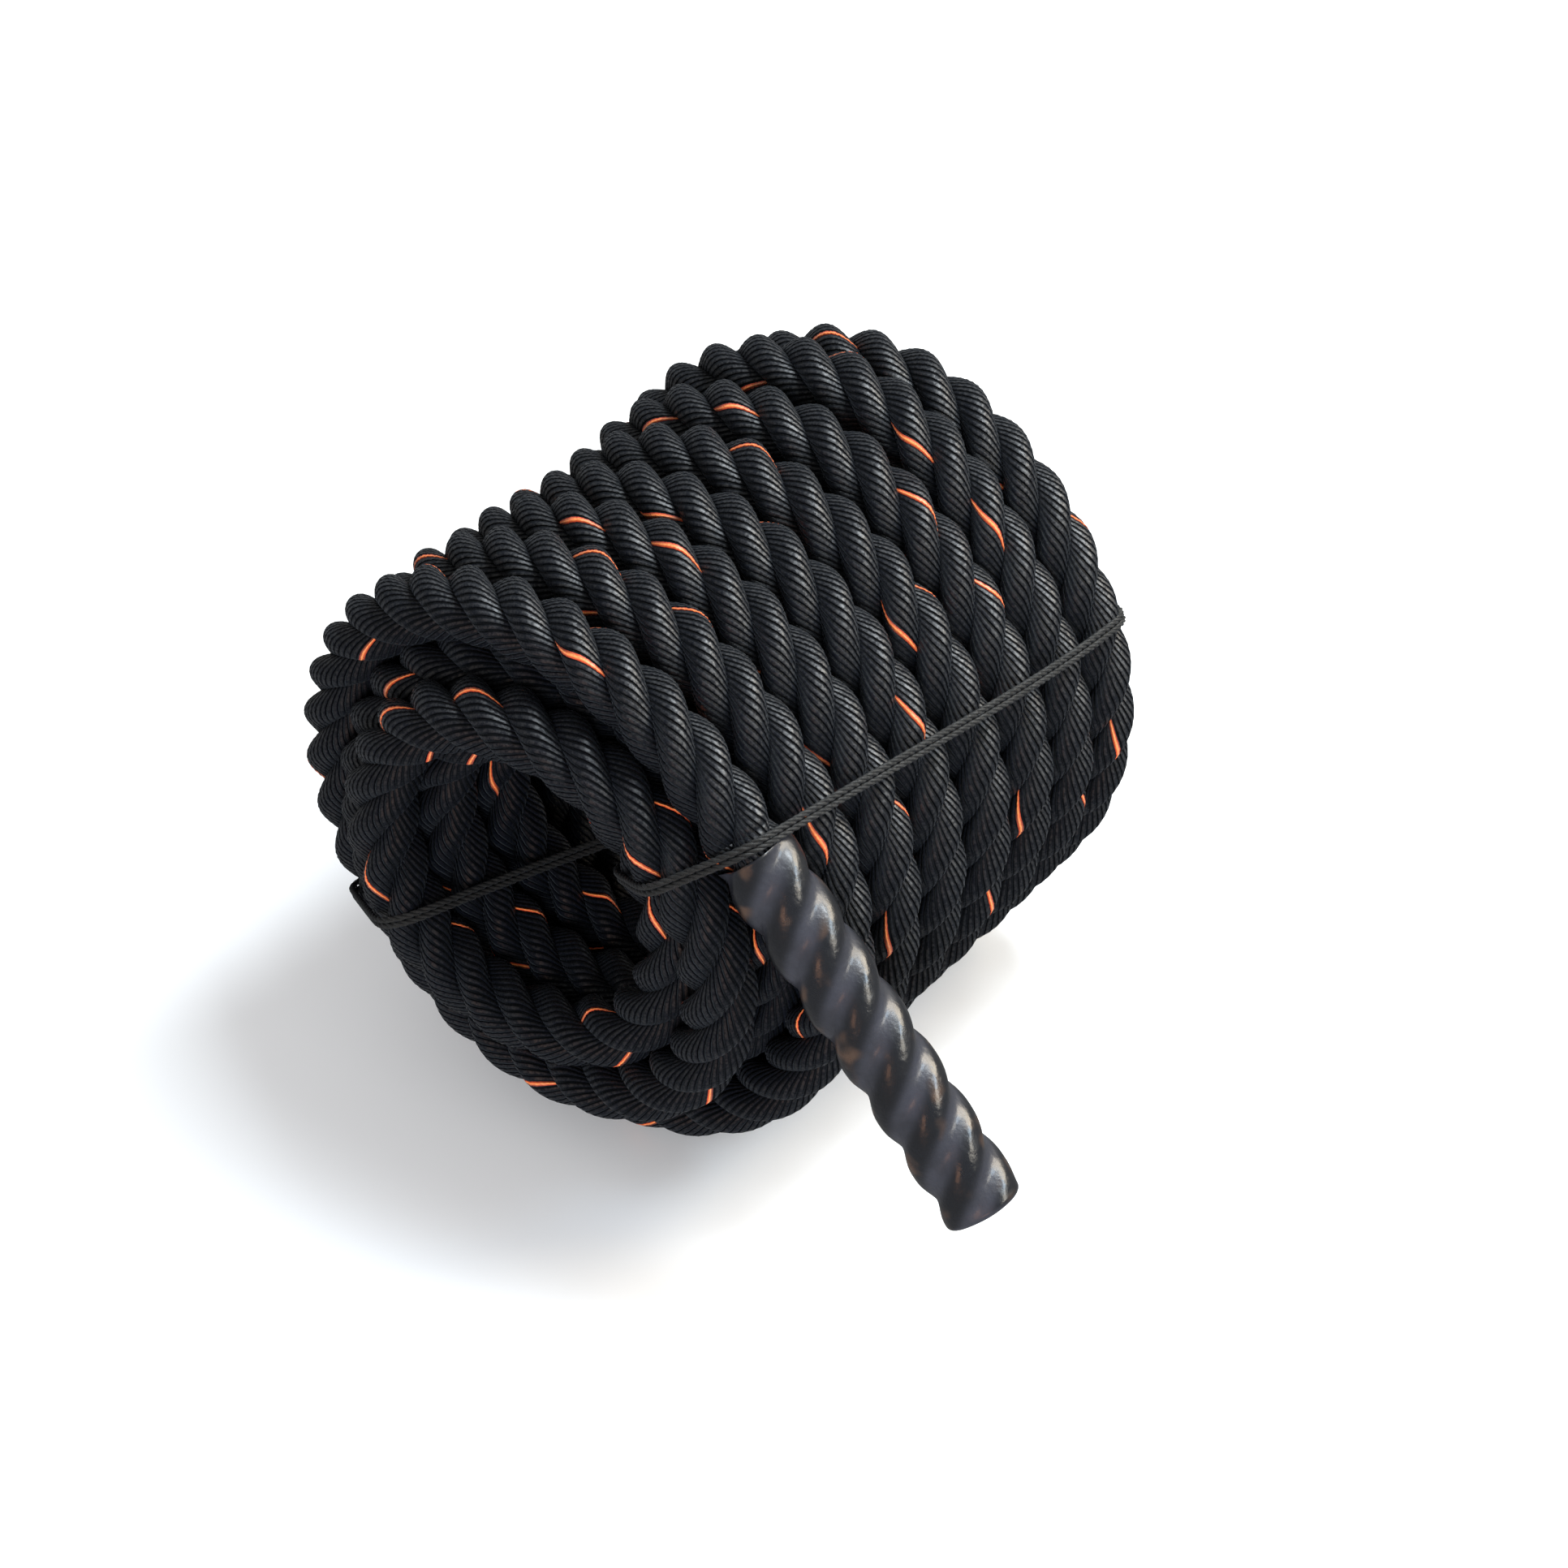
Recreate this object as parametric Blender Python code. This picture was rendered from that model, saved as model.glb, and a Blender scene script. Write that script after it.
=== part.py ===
"""A heavy training rope put away as a tied coil.

One long rope is wound in three layers round a horizontal axis along Y, so that its front face looks
to -Y. Each end of the rope is bound with tape and closed in a shrunk sleeve, which is the grip. Two
doubled cords go round the wall of the coil and are knotted at its back. Z points up, and the origin
is on the flat where the middle of the coil rests. All lengths are in metres and angles in degrees.
"""

from math import atan2, ceil, cos, hypot, pi, radians, sin, sqrt

import bmesh
import bpy
from mathutils import Matrix, Vector
from mathutils.bvhtree import BVHTree

# The rope and its coil
ROPE_DIAMETER = 0.038
COIL_DIAMETER = 0.342
TURN_GAP = 0.0008
LAYER_GAP = 0.0010
LOOP_POINTS = 24
ROPE_SIDES = 6
START_ANGLE = 43.0
REST_ANGLE = 270.0
LEAD_TURNS = 0.5
LEAD_ADVANCE = 0.0030
OUTER_TURNS = 6.5
MIDDLE_TURNS = 7.5
INNER_TURNS = 2
CLIMB_TURNS = 0.5
TURNS_BEFORE_ORIGIN = 3
REST_FLAT_DEPTH = 0.0038
INNER_BEND_RADIUS = 0.057
BEND_STEPS = 6
INNER_GRIP_ANGLE = 353.0

# The two grips: rope end, binding tape and sleeve
FIT_GAP = 0.0003
GRIP_LENGTH = 0.200
SLEEVE_WALL = 0.0016
SLEEVE_END_THICKNESS = 0.003
SLEEVE_EDGE_ROUND = 0.0025
TAPE_THICKNESS = 0.0008
TAPE_WIDTH = 0.036
TAPE_SETBACK = 0.012
ROPE_END_CHAMFER = 0.002
GRIP_SIDES = 32
SHARP_EDGE_ANGLE = 35.0

# The tie cords and their knots
CORD_DIAMETER = 0.0035
CORD_SPACING = 0.0041
CORD_LIFT = 0.0014
CORD_STEP = 0.024
CORNER_STEP_ANGLE = 30.0
KNOT_LENGTH = 0.014
KNOT_WIDTH = 0.0105
KNOT_THICKNESS = 0.0085
KNOT_ROUND = 0.0016
KNOT_ROUND_SEGMENTS = 3
FRONT_REACH_TURNS = 1.5
RIGHT_TIE_FRONT_ANGLE = 36.0
RIGHT_TIE_BACK_ANGLE = 22.0
RIGHT_TIE_BORE_ANGLE = 30.0
LEFT_TIE_FRONT_ANGLE = 209.0
LEFT_TIE_BACK_ANGLE = 236.0
LEFT_TIE_BORE_ANGLE = 268.0

# Worked out from the sizes above
ROPE_RADIUS = ROPE_DIAMETER / 2
ROPE_FLAT_RADIUS = ROPE_RADIUS * cos(pi / ROPE_SIDES)
TURN_PITCH = ROPE_DIAMETER + TURN_GAP
LAYER_STEP = 2 * ROPE_FLAT_RADIUS + LAYER_GAP
OUTER_RADIUS = COIL_DIAMETER / 2 - ROPE_RADIUS
MIDDLE_RADIUS = OUTER_RADIUS - LAYER_STEP
INNER_RADIUS = MIDDLE_RADIUS - LAYER_STEP
FULL_TURN = 360.0
START_Y = -TURN_PITCH * (TURNS_BEFORE_ORIGIN + (REST_ANGLE - START_ANGLE) / FULL_TURN) - LEAD_ADVANCE
LEAD_PITCH = TURN_PITCH + LEAD_ADVANCE / LEAD_TURNS
SLEEVE_BORE_RADIUS = ROPE_RADIUS + FIT_GAP
SLEEVE_RADIUS = SLEEVE_BORE_RADIUS + SLEEVE_WALL
BORE_WALL_RADIUS = (MIDDLE_RADIUS - ROPE_FLAT_RADIUS) * cos(pi / LOOP_POINTS)
INNER_GRIP_RADIUS = BORE_WALL_RADIUS - TURN_GAP - SLEEVE_RADIUS
ROPE_END_LENGTH = GRIP_LENGTH - SLEEVE_END_THICKNESS - FIT_GAP
CORD_RADIUS = CORD_DIAMETER / 2
CORD_STANDOFF = ROPE_RADIUS + CORD_LIFT + CORD_RADIUS


def clear_scene():
    for old in list(bpy.data.objects):
        bpy.data.objects.remove(old, do_unlink=True)


def make_material(name, colour, roughness):
    material = bpy.data.materials.new(name)
    material.use_nodes = True
    shader = material.node_tree.nodes["Principled BSDF"]
    shader.inputs["Base Color"].default_value = (*colour, 1.0)
    shader.inputs["Roughness"].default_value = roughness
    shader.inputs["Metallic"].default_value = 0.0
    material.diffuse_color = (*colour, 1.0)
    return material


def add_object(name, data, material, parent=None):
    obj = bpy.data.objects.new(name, data)
    if material:
        data.materials.append(material)
    bpy.context.scene.collection.objects.link(obj)
    obj.parent = parent
    return obj


def on_coil(angle, y, radius):
    """A point of the coil's own frame, whose axis is Y and whose origin is on that axis."""
    turn = radians(angle)
    return Vector((radius * cos(turn), y, radius * sin(turn)))


def outward(point):
    """The direction away from the coil's axis at a point."""
    return Vector((point.x, 0.0, point.z)).normalized()


# The rope's route

def inner_winding_turns():
    """The turns of the inner layer that bring the grip beyond its bend to the grip's own angle."""
    climbed = START_ANGLE + FULL_TURN * (LEAD_TURNS + OUTER_TURNS + MIDDLE_TURNS + 2 * CLIMB_TURNS)
    bend = inner_run_stations((climbed, 0.0, INNER_RADIUS))[-1][0] - climbed
    return INNER_TURNS + (INNER_GRIP_ANGLE - bend - climbed) % FULL_TURN / FULL_TURN


def winding_stations():
    """Angle, place along the axis and radius of every point of the layers, outer end first."""
    stages = (
        (LEAD_TURNS, OUTER_RADIUS, OUTER_RADIUS, LEAD_PITCH),
        (OUTER_TURNS, OUTER_RADIUS, OUTER_RADIUS, TURN_PITCH),
        (CLIMB_TURNS, OUTER_RADIUS, MIDDLE_RADIUS, 0.0),
        (MIDDLE_TURNS, MIDDLE_RADIUS, MIDDLE_RADIUS, -TURN_PITCH),
        (CLIMB_TURNS, MIDDLE_RADIUS, INNER_RADIUS, 0.0),
        (inner_winding_turns(), INNER_RADIUS, INNER_RADIUS, TURN_PITCH),
    )
    angle, y = START_ANGLE, START_Y
    stations = [(angle, y, OUTER_RADIUS)]
    for turns, first_radius, last_radius, advance in stages:
        steps = round(turns * LOOP_POINTS)
        for step in range(1, steps + 1):
            angle += FULL_TURN * turns / steps
            y += advance * turns / steps
            stations.append((angle, y, first_radius + (last_radius - first_radius) * step / steps))
    return stations


def inner_run_stations(last):
    """The inner end's quarter bend from round the coil to along its axis, then its straight run."""
    angle, y, radius = last
    stations = []
    reach = 0.0
    for step in range(1, BEND_STEPS + 1):
        turn = pi / 2 * step / BEND_STEPS
        advance = INNER_BEND_RADIUS * sin(turn) - reach
        reach += advance
        here = radius + (INNER_GRIP_RADIUS - radius) * step / BEND_STEPS
        angle += advance / here * FULL_TURN / (2 * pi)
        stations.append((angle, y + INNER_BEND_RADIUS * (1 - cos(turn)), here))
    stations.append((angle, stations[-1][1] + ROPE_DIAMETER, INNER_GRIP_RADIUS))
    return stations


def rope_points(stations):
    """The rope's centre line in the coil's frame, with the outer end's straight run in front."""
    points = [on_coil(*station) for station in stations]
    tangent = Vector((0.0, -1.0, 0.0)).cross(outward(points[0]))
    if tangent.dot(points[1] - points[0]) > 0:
        tangent.negate()
    return [points[0] + tangent * ROPE_DIAMETER] + points


def tube_tangents(points):
    """The direction at each point, halfway between those of the pieces that meet there."""
    pieces = [(after - before).normalized() for before, after in zip(points, points[1:])]
    middles = [(first + second).normalized() for first, second in zip(pieces, pieces[1:])]
    return [pieces[0]] + middles + [pieces[-1]]


def tube_tilts(points):
    """The tilt at each point that keeps two flats of the rope square to the coil's radius."""
    tangents = tube_tangents(points)
    carried = outward(points[0])
    tilts = [0.0]
    for before, here, point in zip(tangents, tangents[1:], points[1:]):
        carried = before.rotation_difference(here) @ carried
        wanted = outward(point)
        wanted = (wanted - here * wanted.dot(here)).normalized()
        tilts.append(atan2(carried.cross(wanted).dot(here), carried.dot(wanted)))
    return tilts


def tube_curve(name, points, radius, bevel_resolution, tilts=None):
    """A tube of one spline with filled ends."""
    curve = bpy.data.curves.new(name, "CURVE")
    curve.dimensions = "3D"
    curve.bevel_depth = radius
    curve.bevel_resolution = bevel_resolution
    curve.use_fill_caps = True
    curve.twist_mode = "MINIMUM"
    spline = curve.splines.new("POLY")
    spline.use_smooth = True
    spline.points.add(len(points) - 1)
    for slot, point, tilt in zip(spline.points, points, tilts or [0.0] * len(points)):
        slot.co = (*point, 1.0)
        slot.tilt = tilt
    return curve


def mesh_from_curve(curve):
    """The mesh that a tube's curve makes."""
    holder = bpy.data.objects.new(curve.name, curve)
    bpy.context.scene.collection.objects.link(holder)
    graph = bpy.context.evaluated_depsgraph_get()
    mesh = bpy.data.meshes.new_from_object(holder.evaluated_get(graph))
    bpy.data.objects.remove(holder, do_unlink=True)
    mesh.name = curve.name
    return mesh


def rest_height(stations):
    """How high the coil's axis is above the flats that are cut under its outer turns."""
    lowest = max(-sin(radians(angle)) for angle, _, _ in stations)
    return (OUTER_RADIUS + ROPE_FLAT_RADIUS) * lowest - REST_FLAT_DEPTH


def cut_rest_flats(rope, axis_height):
    """Cuts the outer turns flat where the coil stands."""
    size = 2 * COIL_DIAMETER
    bm = bmesh.new()
    bmesh.ops.create_cube(bm, size=1.0)
    middle = Vector((0.0, 0.0, -axis_height - size / 2))
    bmesh.ops.transform(bm, matrix=Matrix.Translation(middle) @ Matrix.Scale(size, 4), verts=bm.verts)
    mesh = bpy.data.meshes.new("rest_plane_cutter")
    bm.to_mesh(mesh)
    bm.free()
    cutter = add_object("rest_plane_cutter", mesh, None, rope.parent)
    cutter.hide_render = True
    cutter.display_type = "WIRE"
    cut = rope.modifiers.new("rest_flats", "BOOLEAN")
    cut.operation = "DIFFERENCE"
    cut.object = cutter


def least_gap(mesh, rings):
    """The least distance from the tube's points to a part of it over half a loop further on."""
    mesh.calc_loop_triangles()
    corners = [vertex.co for vertex in mesh.vertices[:rings * ROPE_SIDES]]
    triangles = [tuple(triangle.vertices) for triangle in mesh.loop_triangles]
    faces = [triangle for triangle in triangles if max(triangle) < len(corners)]
    edges = [edge for edge in mesh.edge_keys if max(edge) < len(corners)]
    tree = BVHTree.FromPolygons(corners, faces)
    samples = [(index // ROPE_SIDES, corner) for index, corner in enumerate(corners)]
    samples += [(a // ROPE_SIDES, (corners[a] + corners[b]) / 2) for a, b in edges]
    least = ROPE_DIAMETER
    for ring, sample in samples:
        for _, _, face, distance in tree.find_nearest_range(sample, ROPE_RADIUS / 2):
            rings_apart = abs(faces[face][0] // ROPE_SIDES - ring)
            if rings_apart > LOOP_POINTS / 2:
                least = min(least, distance)
    return least


def build_rope(axis, material):
    """The whole wound rope, from one grip to the other."""
    stations = winding_stations()
    run = inner_run_stations(stations[-1])
    points = rope_points(stations + run)
    curve = tube_curve("wound_rope", points, ROPE_RADIUS, ROPE_SIDES // 2 - 2, tube_tilts(points))
    mesh = mesh_from_curve(curve)
    rope = add_object("wound_rope", mesh, material, axis)
    length = sum((after - before).length for before, after in zip(points, points[1:]))
    print(f"wound rope: {length:.3f} m, with both grips {length + 2 * GRIP_LENGTH:.3f} m")
    print(f"least gap of the wound rope to itself: {least_gap(mesh, len(points)) * 1000:.2f} mm")
    cut_rest_flats(rope, axis.location.z)
    first = points[0] - points[1]
    first_angle = START_ANGLE - atan2(first.length, OUTER_RADIUS) * FULL_TURN / (2 * pi)
    return [(first_angle, START_Y, hypot(points[0].x, points[0].z))] + stations, points


# The grips

def lathe(name, profile, sides, material, parent):
    """A closed outline of (radius, height) pairs turned round its own Z axis."""
    bm = bmesh.new()
    rings = []
    for radius, height in profile:
        if radius == 0:
            rings.append([bm.verts.new((0.0, 0.0, height))])
            continue
        turns = [2 * pi * side / sides for side in range(sides)]
        rings.append([bm.verts.new((radius * cos(t), radius * sin(t), height)) for t in turns])
    for lower, upper in zip(rings, rings[1:] + rings[:1]):
        if len(lower) == 1 and len(upper) == 1:
            continue
        for side in range(sides):
            after = (side + 1) % sides
            corners = [lower[side % len(lower)], lower[after % len(lower)]]
            corners += [upper[after % len(upper)], upper[side % len(upper)]]
            bm.faces.new(dict.fromkeys(corners))
    bmesh.ops.recalc_face_normals(bm, faces=bm.faces)
    mesh = bpy.data.meshes.new(name)
    bm.to_mesh(mesh)
    bm.free()
    mesh.shade_smooth()
    mesh.set_sharp_from_angle(angle=radians(SHARP_EDGE_ANGLE))
    return add_object(name, mesh, material, parent)


def build_grip(prefix, rope_end_point, direction, side, axis, materials):
    """A rope end with its tape and sleeve. Its holder stands on the outer edge that it bends about."""
    rotation = Matrix.Identity(3)
    rotation.col[0] = side
    rotation.col[1] = direction.cross(side)
    rotation.col[2] = direction
    holder = bpy.data.objects.new(prefix + "_grip_hinge", None)
    bpy.context.scene.collection.objects.link(holder)
    holder.parent = axis
    holder.location = rope_end_point + side * SLEEVE_RADIUS
    holder.rotation_euler = rotation.to_euler()

    tape_low = ROPE_END_LENGTH - TAPE_SETBACK - TAPE_WIDTH
    tape_high = ROPE_END_LENGTH - TAPE_SETBACK
    waist = ROPE_RADIUS - TAPE_THICKNESS - FIT_GAP
    rope_end = [
        (0.0, FIT_GAP),
        (ROPE_RADIUS, FIT_GAP),
        (ROPE_RADIUS, tape_low - FIT_GAP),
        (waist, tape_low - FIT_GAP),
        (waist, tape_high + FIT_GAP),
        (ROPE_RADIUS, tape_high + FIT_GAP),
        (ROPE_RADIUS, ROPE_END_LENGTH - ROPE_END_CHAMFER),
        (ROPE_RADIUS - ROPE_END_CHAMFER, ROPE_END_LENGTH),
        (0.0, ROPE_END_LENGTH),
    ]
    tape_bore = ROPE_RADIUS - TAPE_THICKNESS
    tape = [(tape_bore, tape_low), (ROPE_RADIUS, tape_low), (ROPE_RADIUS, tape_high), (tape_bore, tape_high)]
    bore_end = ROPE_END_LENGTH + FIT_GAP
    sleeve = [
        (SLEEVE_BORE_RADIUS, FIT_GAP),
        (SLEEVE_RADIUS, FIT_GAP),
        (SLEEVE_RADIUS, GRIP_LENGTH - SLEEVE_EDGE_ROUND),
        (SLEEVE_RADIUS - SLEEVE_EDGE_ROUND * (1 - sqrt(0.5)), GRIP_LENGTH - SLEEVE_EDGE_ROUND * (1 - sqrt(0.5))),
        (SLEEVE_RADIUS - SLEEVE_EDGE_ROUND, GRIP_LENGTH),
        (0.0, GRIP_LENGTH),
        (0.0, bore_end),
        (SLEEVE_BORE_RADIUS, bore_end),
    ]
    outlines = (("rope_end", rope_end), ("end_tape", tape), ("grip_sleeve", sleeve))
    for name, outline in outlines:
        piece = lathe(f"{prefix}_{name}", outline, GRIP_SIDES, materials[name], holder)
        piece.location = Vector((-SLEEVE_RADIUS, 0.0, 0.0))
    return holder


# The tie cords

def crossings(stations, angle):
    """Where the rope's turns cross the half plane at an angle, as (y, radius) pairs."""
    found = []
    for (first, y0, r0), (last, y1, r1) in zip(stations, stations[1:]):
        laps = ceil((first - angle) / FULL_TURN)
        share = (angle + laps * FULL_TURN - first) / (last - first)
        if 0 <= share < 1:
            found.append((y0 + (y1 - y0) * share, r0 + (r1 - r0) * share))
    return found


def hull(points):
    """The corners of the smallest convex outline round some points, anticlockwise."""
    def half(ordered):
        chain = []
        for point in ordered:
            while len(chain) > 1:
                (ax, ay), (bx, by) = chain[-2:]
                if (bx - ax) * (point[1] - ay) - (by - ay) * (point[0] - ax) > 0:
                    break
                chain.pop()
            chain.append(point)
        return chain[:-1]
    ordered = sorted(points)
    return half(ordered) + half(ordered[::-1])


def tie_section(stations, front_angle, back_angle, bore_angle):
    """The turns that a tie bends round, as (y, radius, angle where it comes, angle where it leaves)."""
    front = crossings(stations, front_angle)
    front_end = min(y for y, _ in front) + FRONT_REACH_TURNS * TURN_PITCH
    outer_layer = (OUTER_RADIUS + MIDDLE_RADIUS) / 2
    corners = {(y, r): (front_angle, front_angle) for y, r in front if y < front_end}
    behind = [(y, r) for y, r in crossings(stations, back_angle) if y > front_end]
    inside = [(y, r) for y, r in crossings(stations, bore_angle) if y > front_end and r < outer_layer]
    corners.update({(y, r): (back_angle, back_angle) for y, r in behind if r > outer_layer})
    corners.update({(y, r): (bore_angle, bore_angle) for y, r in inside})
    last_y = max(y for y, r in behind + inside if r < outer_layer)
    corners[last_y, MIDDLE_RADIUS] = (bore_angle, back_angle)
    return [(*corner, *corners[corner]) for corner in hull(corners)]


def offset_route(section):
    """For each turn that the tie bends round, the points that it passes at the cord's standoff."""
    normals = []
    for (y0, r0, *_), (y1, r1, *_) in zip(section, section[1:] + section[:1]):
        normals.append(atan2(y0 - y1, r1 - r0))
    route = []
    for corner, (y, radius, comes, leaves) in enumerate(section):
        before = normals[corner - 1]
        swing = (normals[corner] - before) % (2 * pi)
        parts = max(1, ceil(swing / radians(CORNER_STEP_ANGLE)))
        bend = []
        for part in range(parts + 1):
            turn = before + swing * part / parts
            angle = comes + (leaves - comes) * part / parts
            bend.append(on_coil(angle, y + CORD_STANDOFF * cos(turn), radius + CORD_STANDOFF * sin(turn)))
        route.append(bend)
    return route


def pulled_tight(section, route):
    """The route without the bends in the bore that the cord's straight run passes clear of."""
    kept = []
    for corner, (y, radius, *_) in enumerate(section):
        before = route[corner - 1][-1]
        after = route[(corner + 1) % len(route)][0]
        if before.y < y < after.y:
            straight = before.lerp(after, (y - before.y) / (after.y - before.y))
            clear = radius - ROPE_FLAT_RADIUS - CORD_RADIUS - FIT_GAP
            if hypot(straight.x, straight.z) < clear:
                continue
        kept.append((radius, route[corner]))
    return kept


def tie_points(section):
    """The tie's centre line, out from the coil's back edge, over its front and back through the bore."""
    bends = pulled_tight(section, offset_route(section))
    outer = [radius > (OUTER_RADIUS + MIDDLE_RADIUS) / 2 for radius, _ in bends]
    first = next(i for i, here in enumerate(outer) if here and not outer[i - 1])
    return [point for _, bend in bends[first:] + bends[:first] for point in bend]


def filled(points, around_coil):
    """The same line with more points on its long pieces, bent round the coil outside its wall."""
    line = [points[0]]
    for before, after in zip(points, points[1:]):
        parts = max(1, ceil((after - before).length / CORD_STEP))
        radii = [hypot(p.x, p.z) for p in (before, after)]
        for part in range(1, parts + 1):
            point = before.lerp(after, part / parts)
            if min(radii) > around_coil:
                radius = radii[0] + (radii[1] - radii[0]) * part / parts
                point = Vector((point.x, 0.0, point.z)).normalized() * radius + Vector((0.0, point.y, 0.0))
            line.append(point)
    return line


def wall_outward(point, section):
    """The direction away from the middle of the coil's wall at a point beside it."""
    middle_y = (min(corner[0] for corner in section) + max(corner[0] for corner in section)) / 2
    out = outward(point)
    radius = hypot(point.x, point.z)
    return (out * (radius - MIDDLE_RADIUS) + Vector((0.0, point.y - middle_y, 0.0)) / 2).normalized()


def build_tie(prefix, stations, angles, axis, materials):
    """A doubled cord round the coil's wall, and the knot at the back that its ends meet."""
    section = tie_section(stations, *angles)
    corners = tie_points(section)
    knot_middle = (corners[0] + corners[-1]) / 2
    along = (corners[0] - corners[-1]).normalized()
    reach = KNOT_LENGTH / 2 + FIT_GAP
    straight = CORD_DIAMETER
    head = [knot_middle + along * reach, knot_middle + along * (reach + straight)]
    tail = [knot_middle - along * (reach + straight), knot_middle - along * reach]
    line = head[:1] + filled(head[1:] + corners + tail[:1], OUTER_RADIUS) + tail[1:]
    tangents = tube_tangents(line)
    for number, shift in enumerate((-CORD_SPACING / 2, CORD_SPACING / 2), 1):
        strand = []
        for point, tangent in zip(line, tangents):
            beside = tangent.cross(wall_outward(point, section)).normalized()
            strand.append(point + beside * shift)
        name = f"{prefix}_tie_cord_{number}"
        add_object(name, tube_curve(name, strand, CORD_RADIUS, 2), materials["tie_cord"], axis)
    out = wall_outward(knot_middle, section)
    out = (out - along * out.dot(along)).normalized()
    rotation = Matrix.Identity(3)
    rotation.col[0] = along
    rotation.col[1] = out.cross(along)
    rotation.col[2] = out
    middle = knot_middle + out * (KNOT_THICKNESS / 2 - CORD_RADIUS)
    build_knot(prefix + "_tie_knot", middle, rotation, axis, materials["tie_cord"])


def build_knot(name, middle, rotation, axis, material):
    """A tight knot as a rounded block whose flat ends the cords meet."""
    bm = bmesh.new()
    bmesh.ops.create_cube(bm, size=1.0)
    bmesh.ops.scale(bm, vec=(KNOT_LENGTH, KNOT_WIDTH, KNOT_THICKNESS), verts=bm.verts)
    mesh = bpy.data.meshes.new(name)
    bm.to_mesh(mesh)
    bm.free()
    mesh.shade_smooth()
    knot = add_object(name, mesh, material, axis)
    knot.location = middle
    knot.rotation_euler = rotation.to_euler()
    rounding = knot.modifiers.new("rounding", "BEVEL")
    rounding.width = KNOT_ROUND
    rounding.segments = KNOT_ROUND_SEGMENTS


def main():
    clear_scene()
    materials = {
        "rope": make_material("rope_black", (0.022, 0.024, 0.028), 0.85),
        "grip_sleeve": make_material("sleeve_slate", (0.055, 0.060, 0.072), 0.40),
        "end_tape": make_material("tape_black", (0.015, 0.015, 0.016), 0.55),
        "tie_cord": make_material("cord_grey", (0.035, 0.036, 0.036), 0.80),
    }
    materials["rope_end"] = materials["rope"]

    axis = bpy.data.objects.new("coil_axis", None)
    bpy.context.scene.collection.objects.link(axis)
    axis.location = Vector((0.0, 0.0, rest_height(winding_stations())))

    stations, points = build_rope(axis, materials["rope"])
    outer_direction = (points[0] - points[1]).normalized()
    build_grip("outer", points[0], outer_direction, outward(points[1]), axis, materials)
    inner_direction = (points[-1] - points[-2]).normalized()
    build_grip("inner", points[-1], inner_direction, -outward(points[-1]), axis, materials)

    right_angles = (RIGHT_TIE_FRONT_ANGLE, RIGHT_TIE_BACK_ANGLE, RIGHT_TIE_BORE_ANGLE)
    left_angles = (LEFT_TIE_FRONT_ANGLE, LEFT_TIE_BACK_ANGLE, LEFT_TIE_BORE_ANGLE)
    build_tie("right", stations, right_angles, axis, materials)
    build_tie("left", stations, left_angles, axis, materials)


main()
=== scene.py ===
"""Looks of a heavy training rope that lies wound in a tied coil, with a shrunk sleeve on each end.

The rope is one run of three laid strands. A Geometry Nodes tree lays the strands along the rope's
route, and the run is then cut into the pieces that ride on the coil and on the two grips. All
lengths are in metres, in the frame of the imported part.
"""

import logging
from collections.abc import Callable
from dataclasses import asdict, dataclass, field
from enum import Enum
from functools import partial
from math import ceil, cos, hypot, pi, radians, sin
from typing import ClassVar

import bmesh
import bpy
import numpy as np
from mathutils import Matrix, Vector
from mathutils.kdtree import KDTree


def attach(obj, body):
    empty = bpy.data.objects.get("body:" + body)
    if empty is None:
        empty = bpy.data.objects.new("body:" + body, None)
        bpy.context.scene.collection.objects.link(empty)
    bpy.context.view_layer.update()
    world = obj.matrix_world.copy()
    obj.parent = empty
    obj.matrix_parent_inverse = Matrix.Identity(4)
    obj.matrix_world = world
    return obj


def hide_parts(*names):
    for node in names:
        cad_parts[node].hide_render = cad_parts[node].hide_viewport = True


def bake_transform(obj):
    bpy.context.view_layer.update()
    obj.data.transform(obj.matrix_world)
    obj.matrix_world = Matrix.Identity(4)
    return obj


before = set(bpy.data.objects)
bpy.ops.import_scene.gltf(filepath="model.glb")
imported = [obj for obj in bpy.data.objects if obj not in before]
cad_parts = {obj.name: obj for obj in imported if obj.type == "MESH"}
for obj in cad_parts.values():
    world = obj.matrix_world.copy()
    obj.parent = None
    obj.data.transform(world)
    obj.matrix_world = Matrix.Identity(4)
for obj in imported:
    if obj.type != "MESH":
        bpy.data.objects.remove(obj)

LOG = logging.getLogger("training_rope")
FULL_TURN = 360.0
BELL_SPREADS = 2.5

Material = bpy.types.Material
Mesh = bpy.types.Mesh
Node = bpy.types.Node
Object = bpy.types.Object
Socket = bpy.types.NodeSocket
Tree = bpy.types.NodeTree
BMesh = bmesh.types.BMesh
BMVert = bmesh.types.BMVert
Triple = tuple[float, float, float]
Value = Socket | float
Types = dict[str, str]
Wires = dict[str, Socket]
Filler = Callable[[Tree, Wires], Wires]


class Grip(Enum):
    """The two ends of the rope, named by where they start in the coil."""

    OUTER = "outer"
    INNER = "inner"


class Tie(Enum):
    """The two doubled cords that hold the coil together."""

    RIGHT = "right"
    LEFT = "left"


# Geometry helpers


def on_coil(angle: float, y: float, radius: float) -> np.ndarray:
    """A point of the coil's own frame, whose axis is Y, with its angle counted from +X towards +Z."""
    return np.array((radius * cos(radians(angle)), y, radius * sin(radians(angle))))


def distances(points: np.ndarray) -> np.ndarray:
    """How far along a line each of its points lies."""
    return np.concatenate([[0.0], np.cumsum(np.linalg.norm(np.diff(points, axis=0), axis=1))])


def line_length(points: np.ndarray) -> float:
    """The length of a line of points."""
    return float(np.linalg.norm(np.diff(points, axis=0), axis=1).sum())


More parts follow.
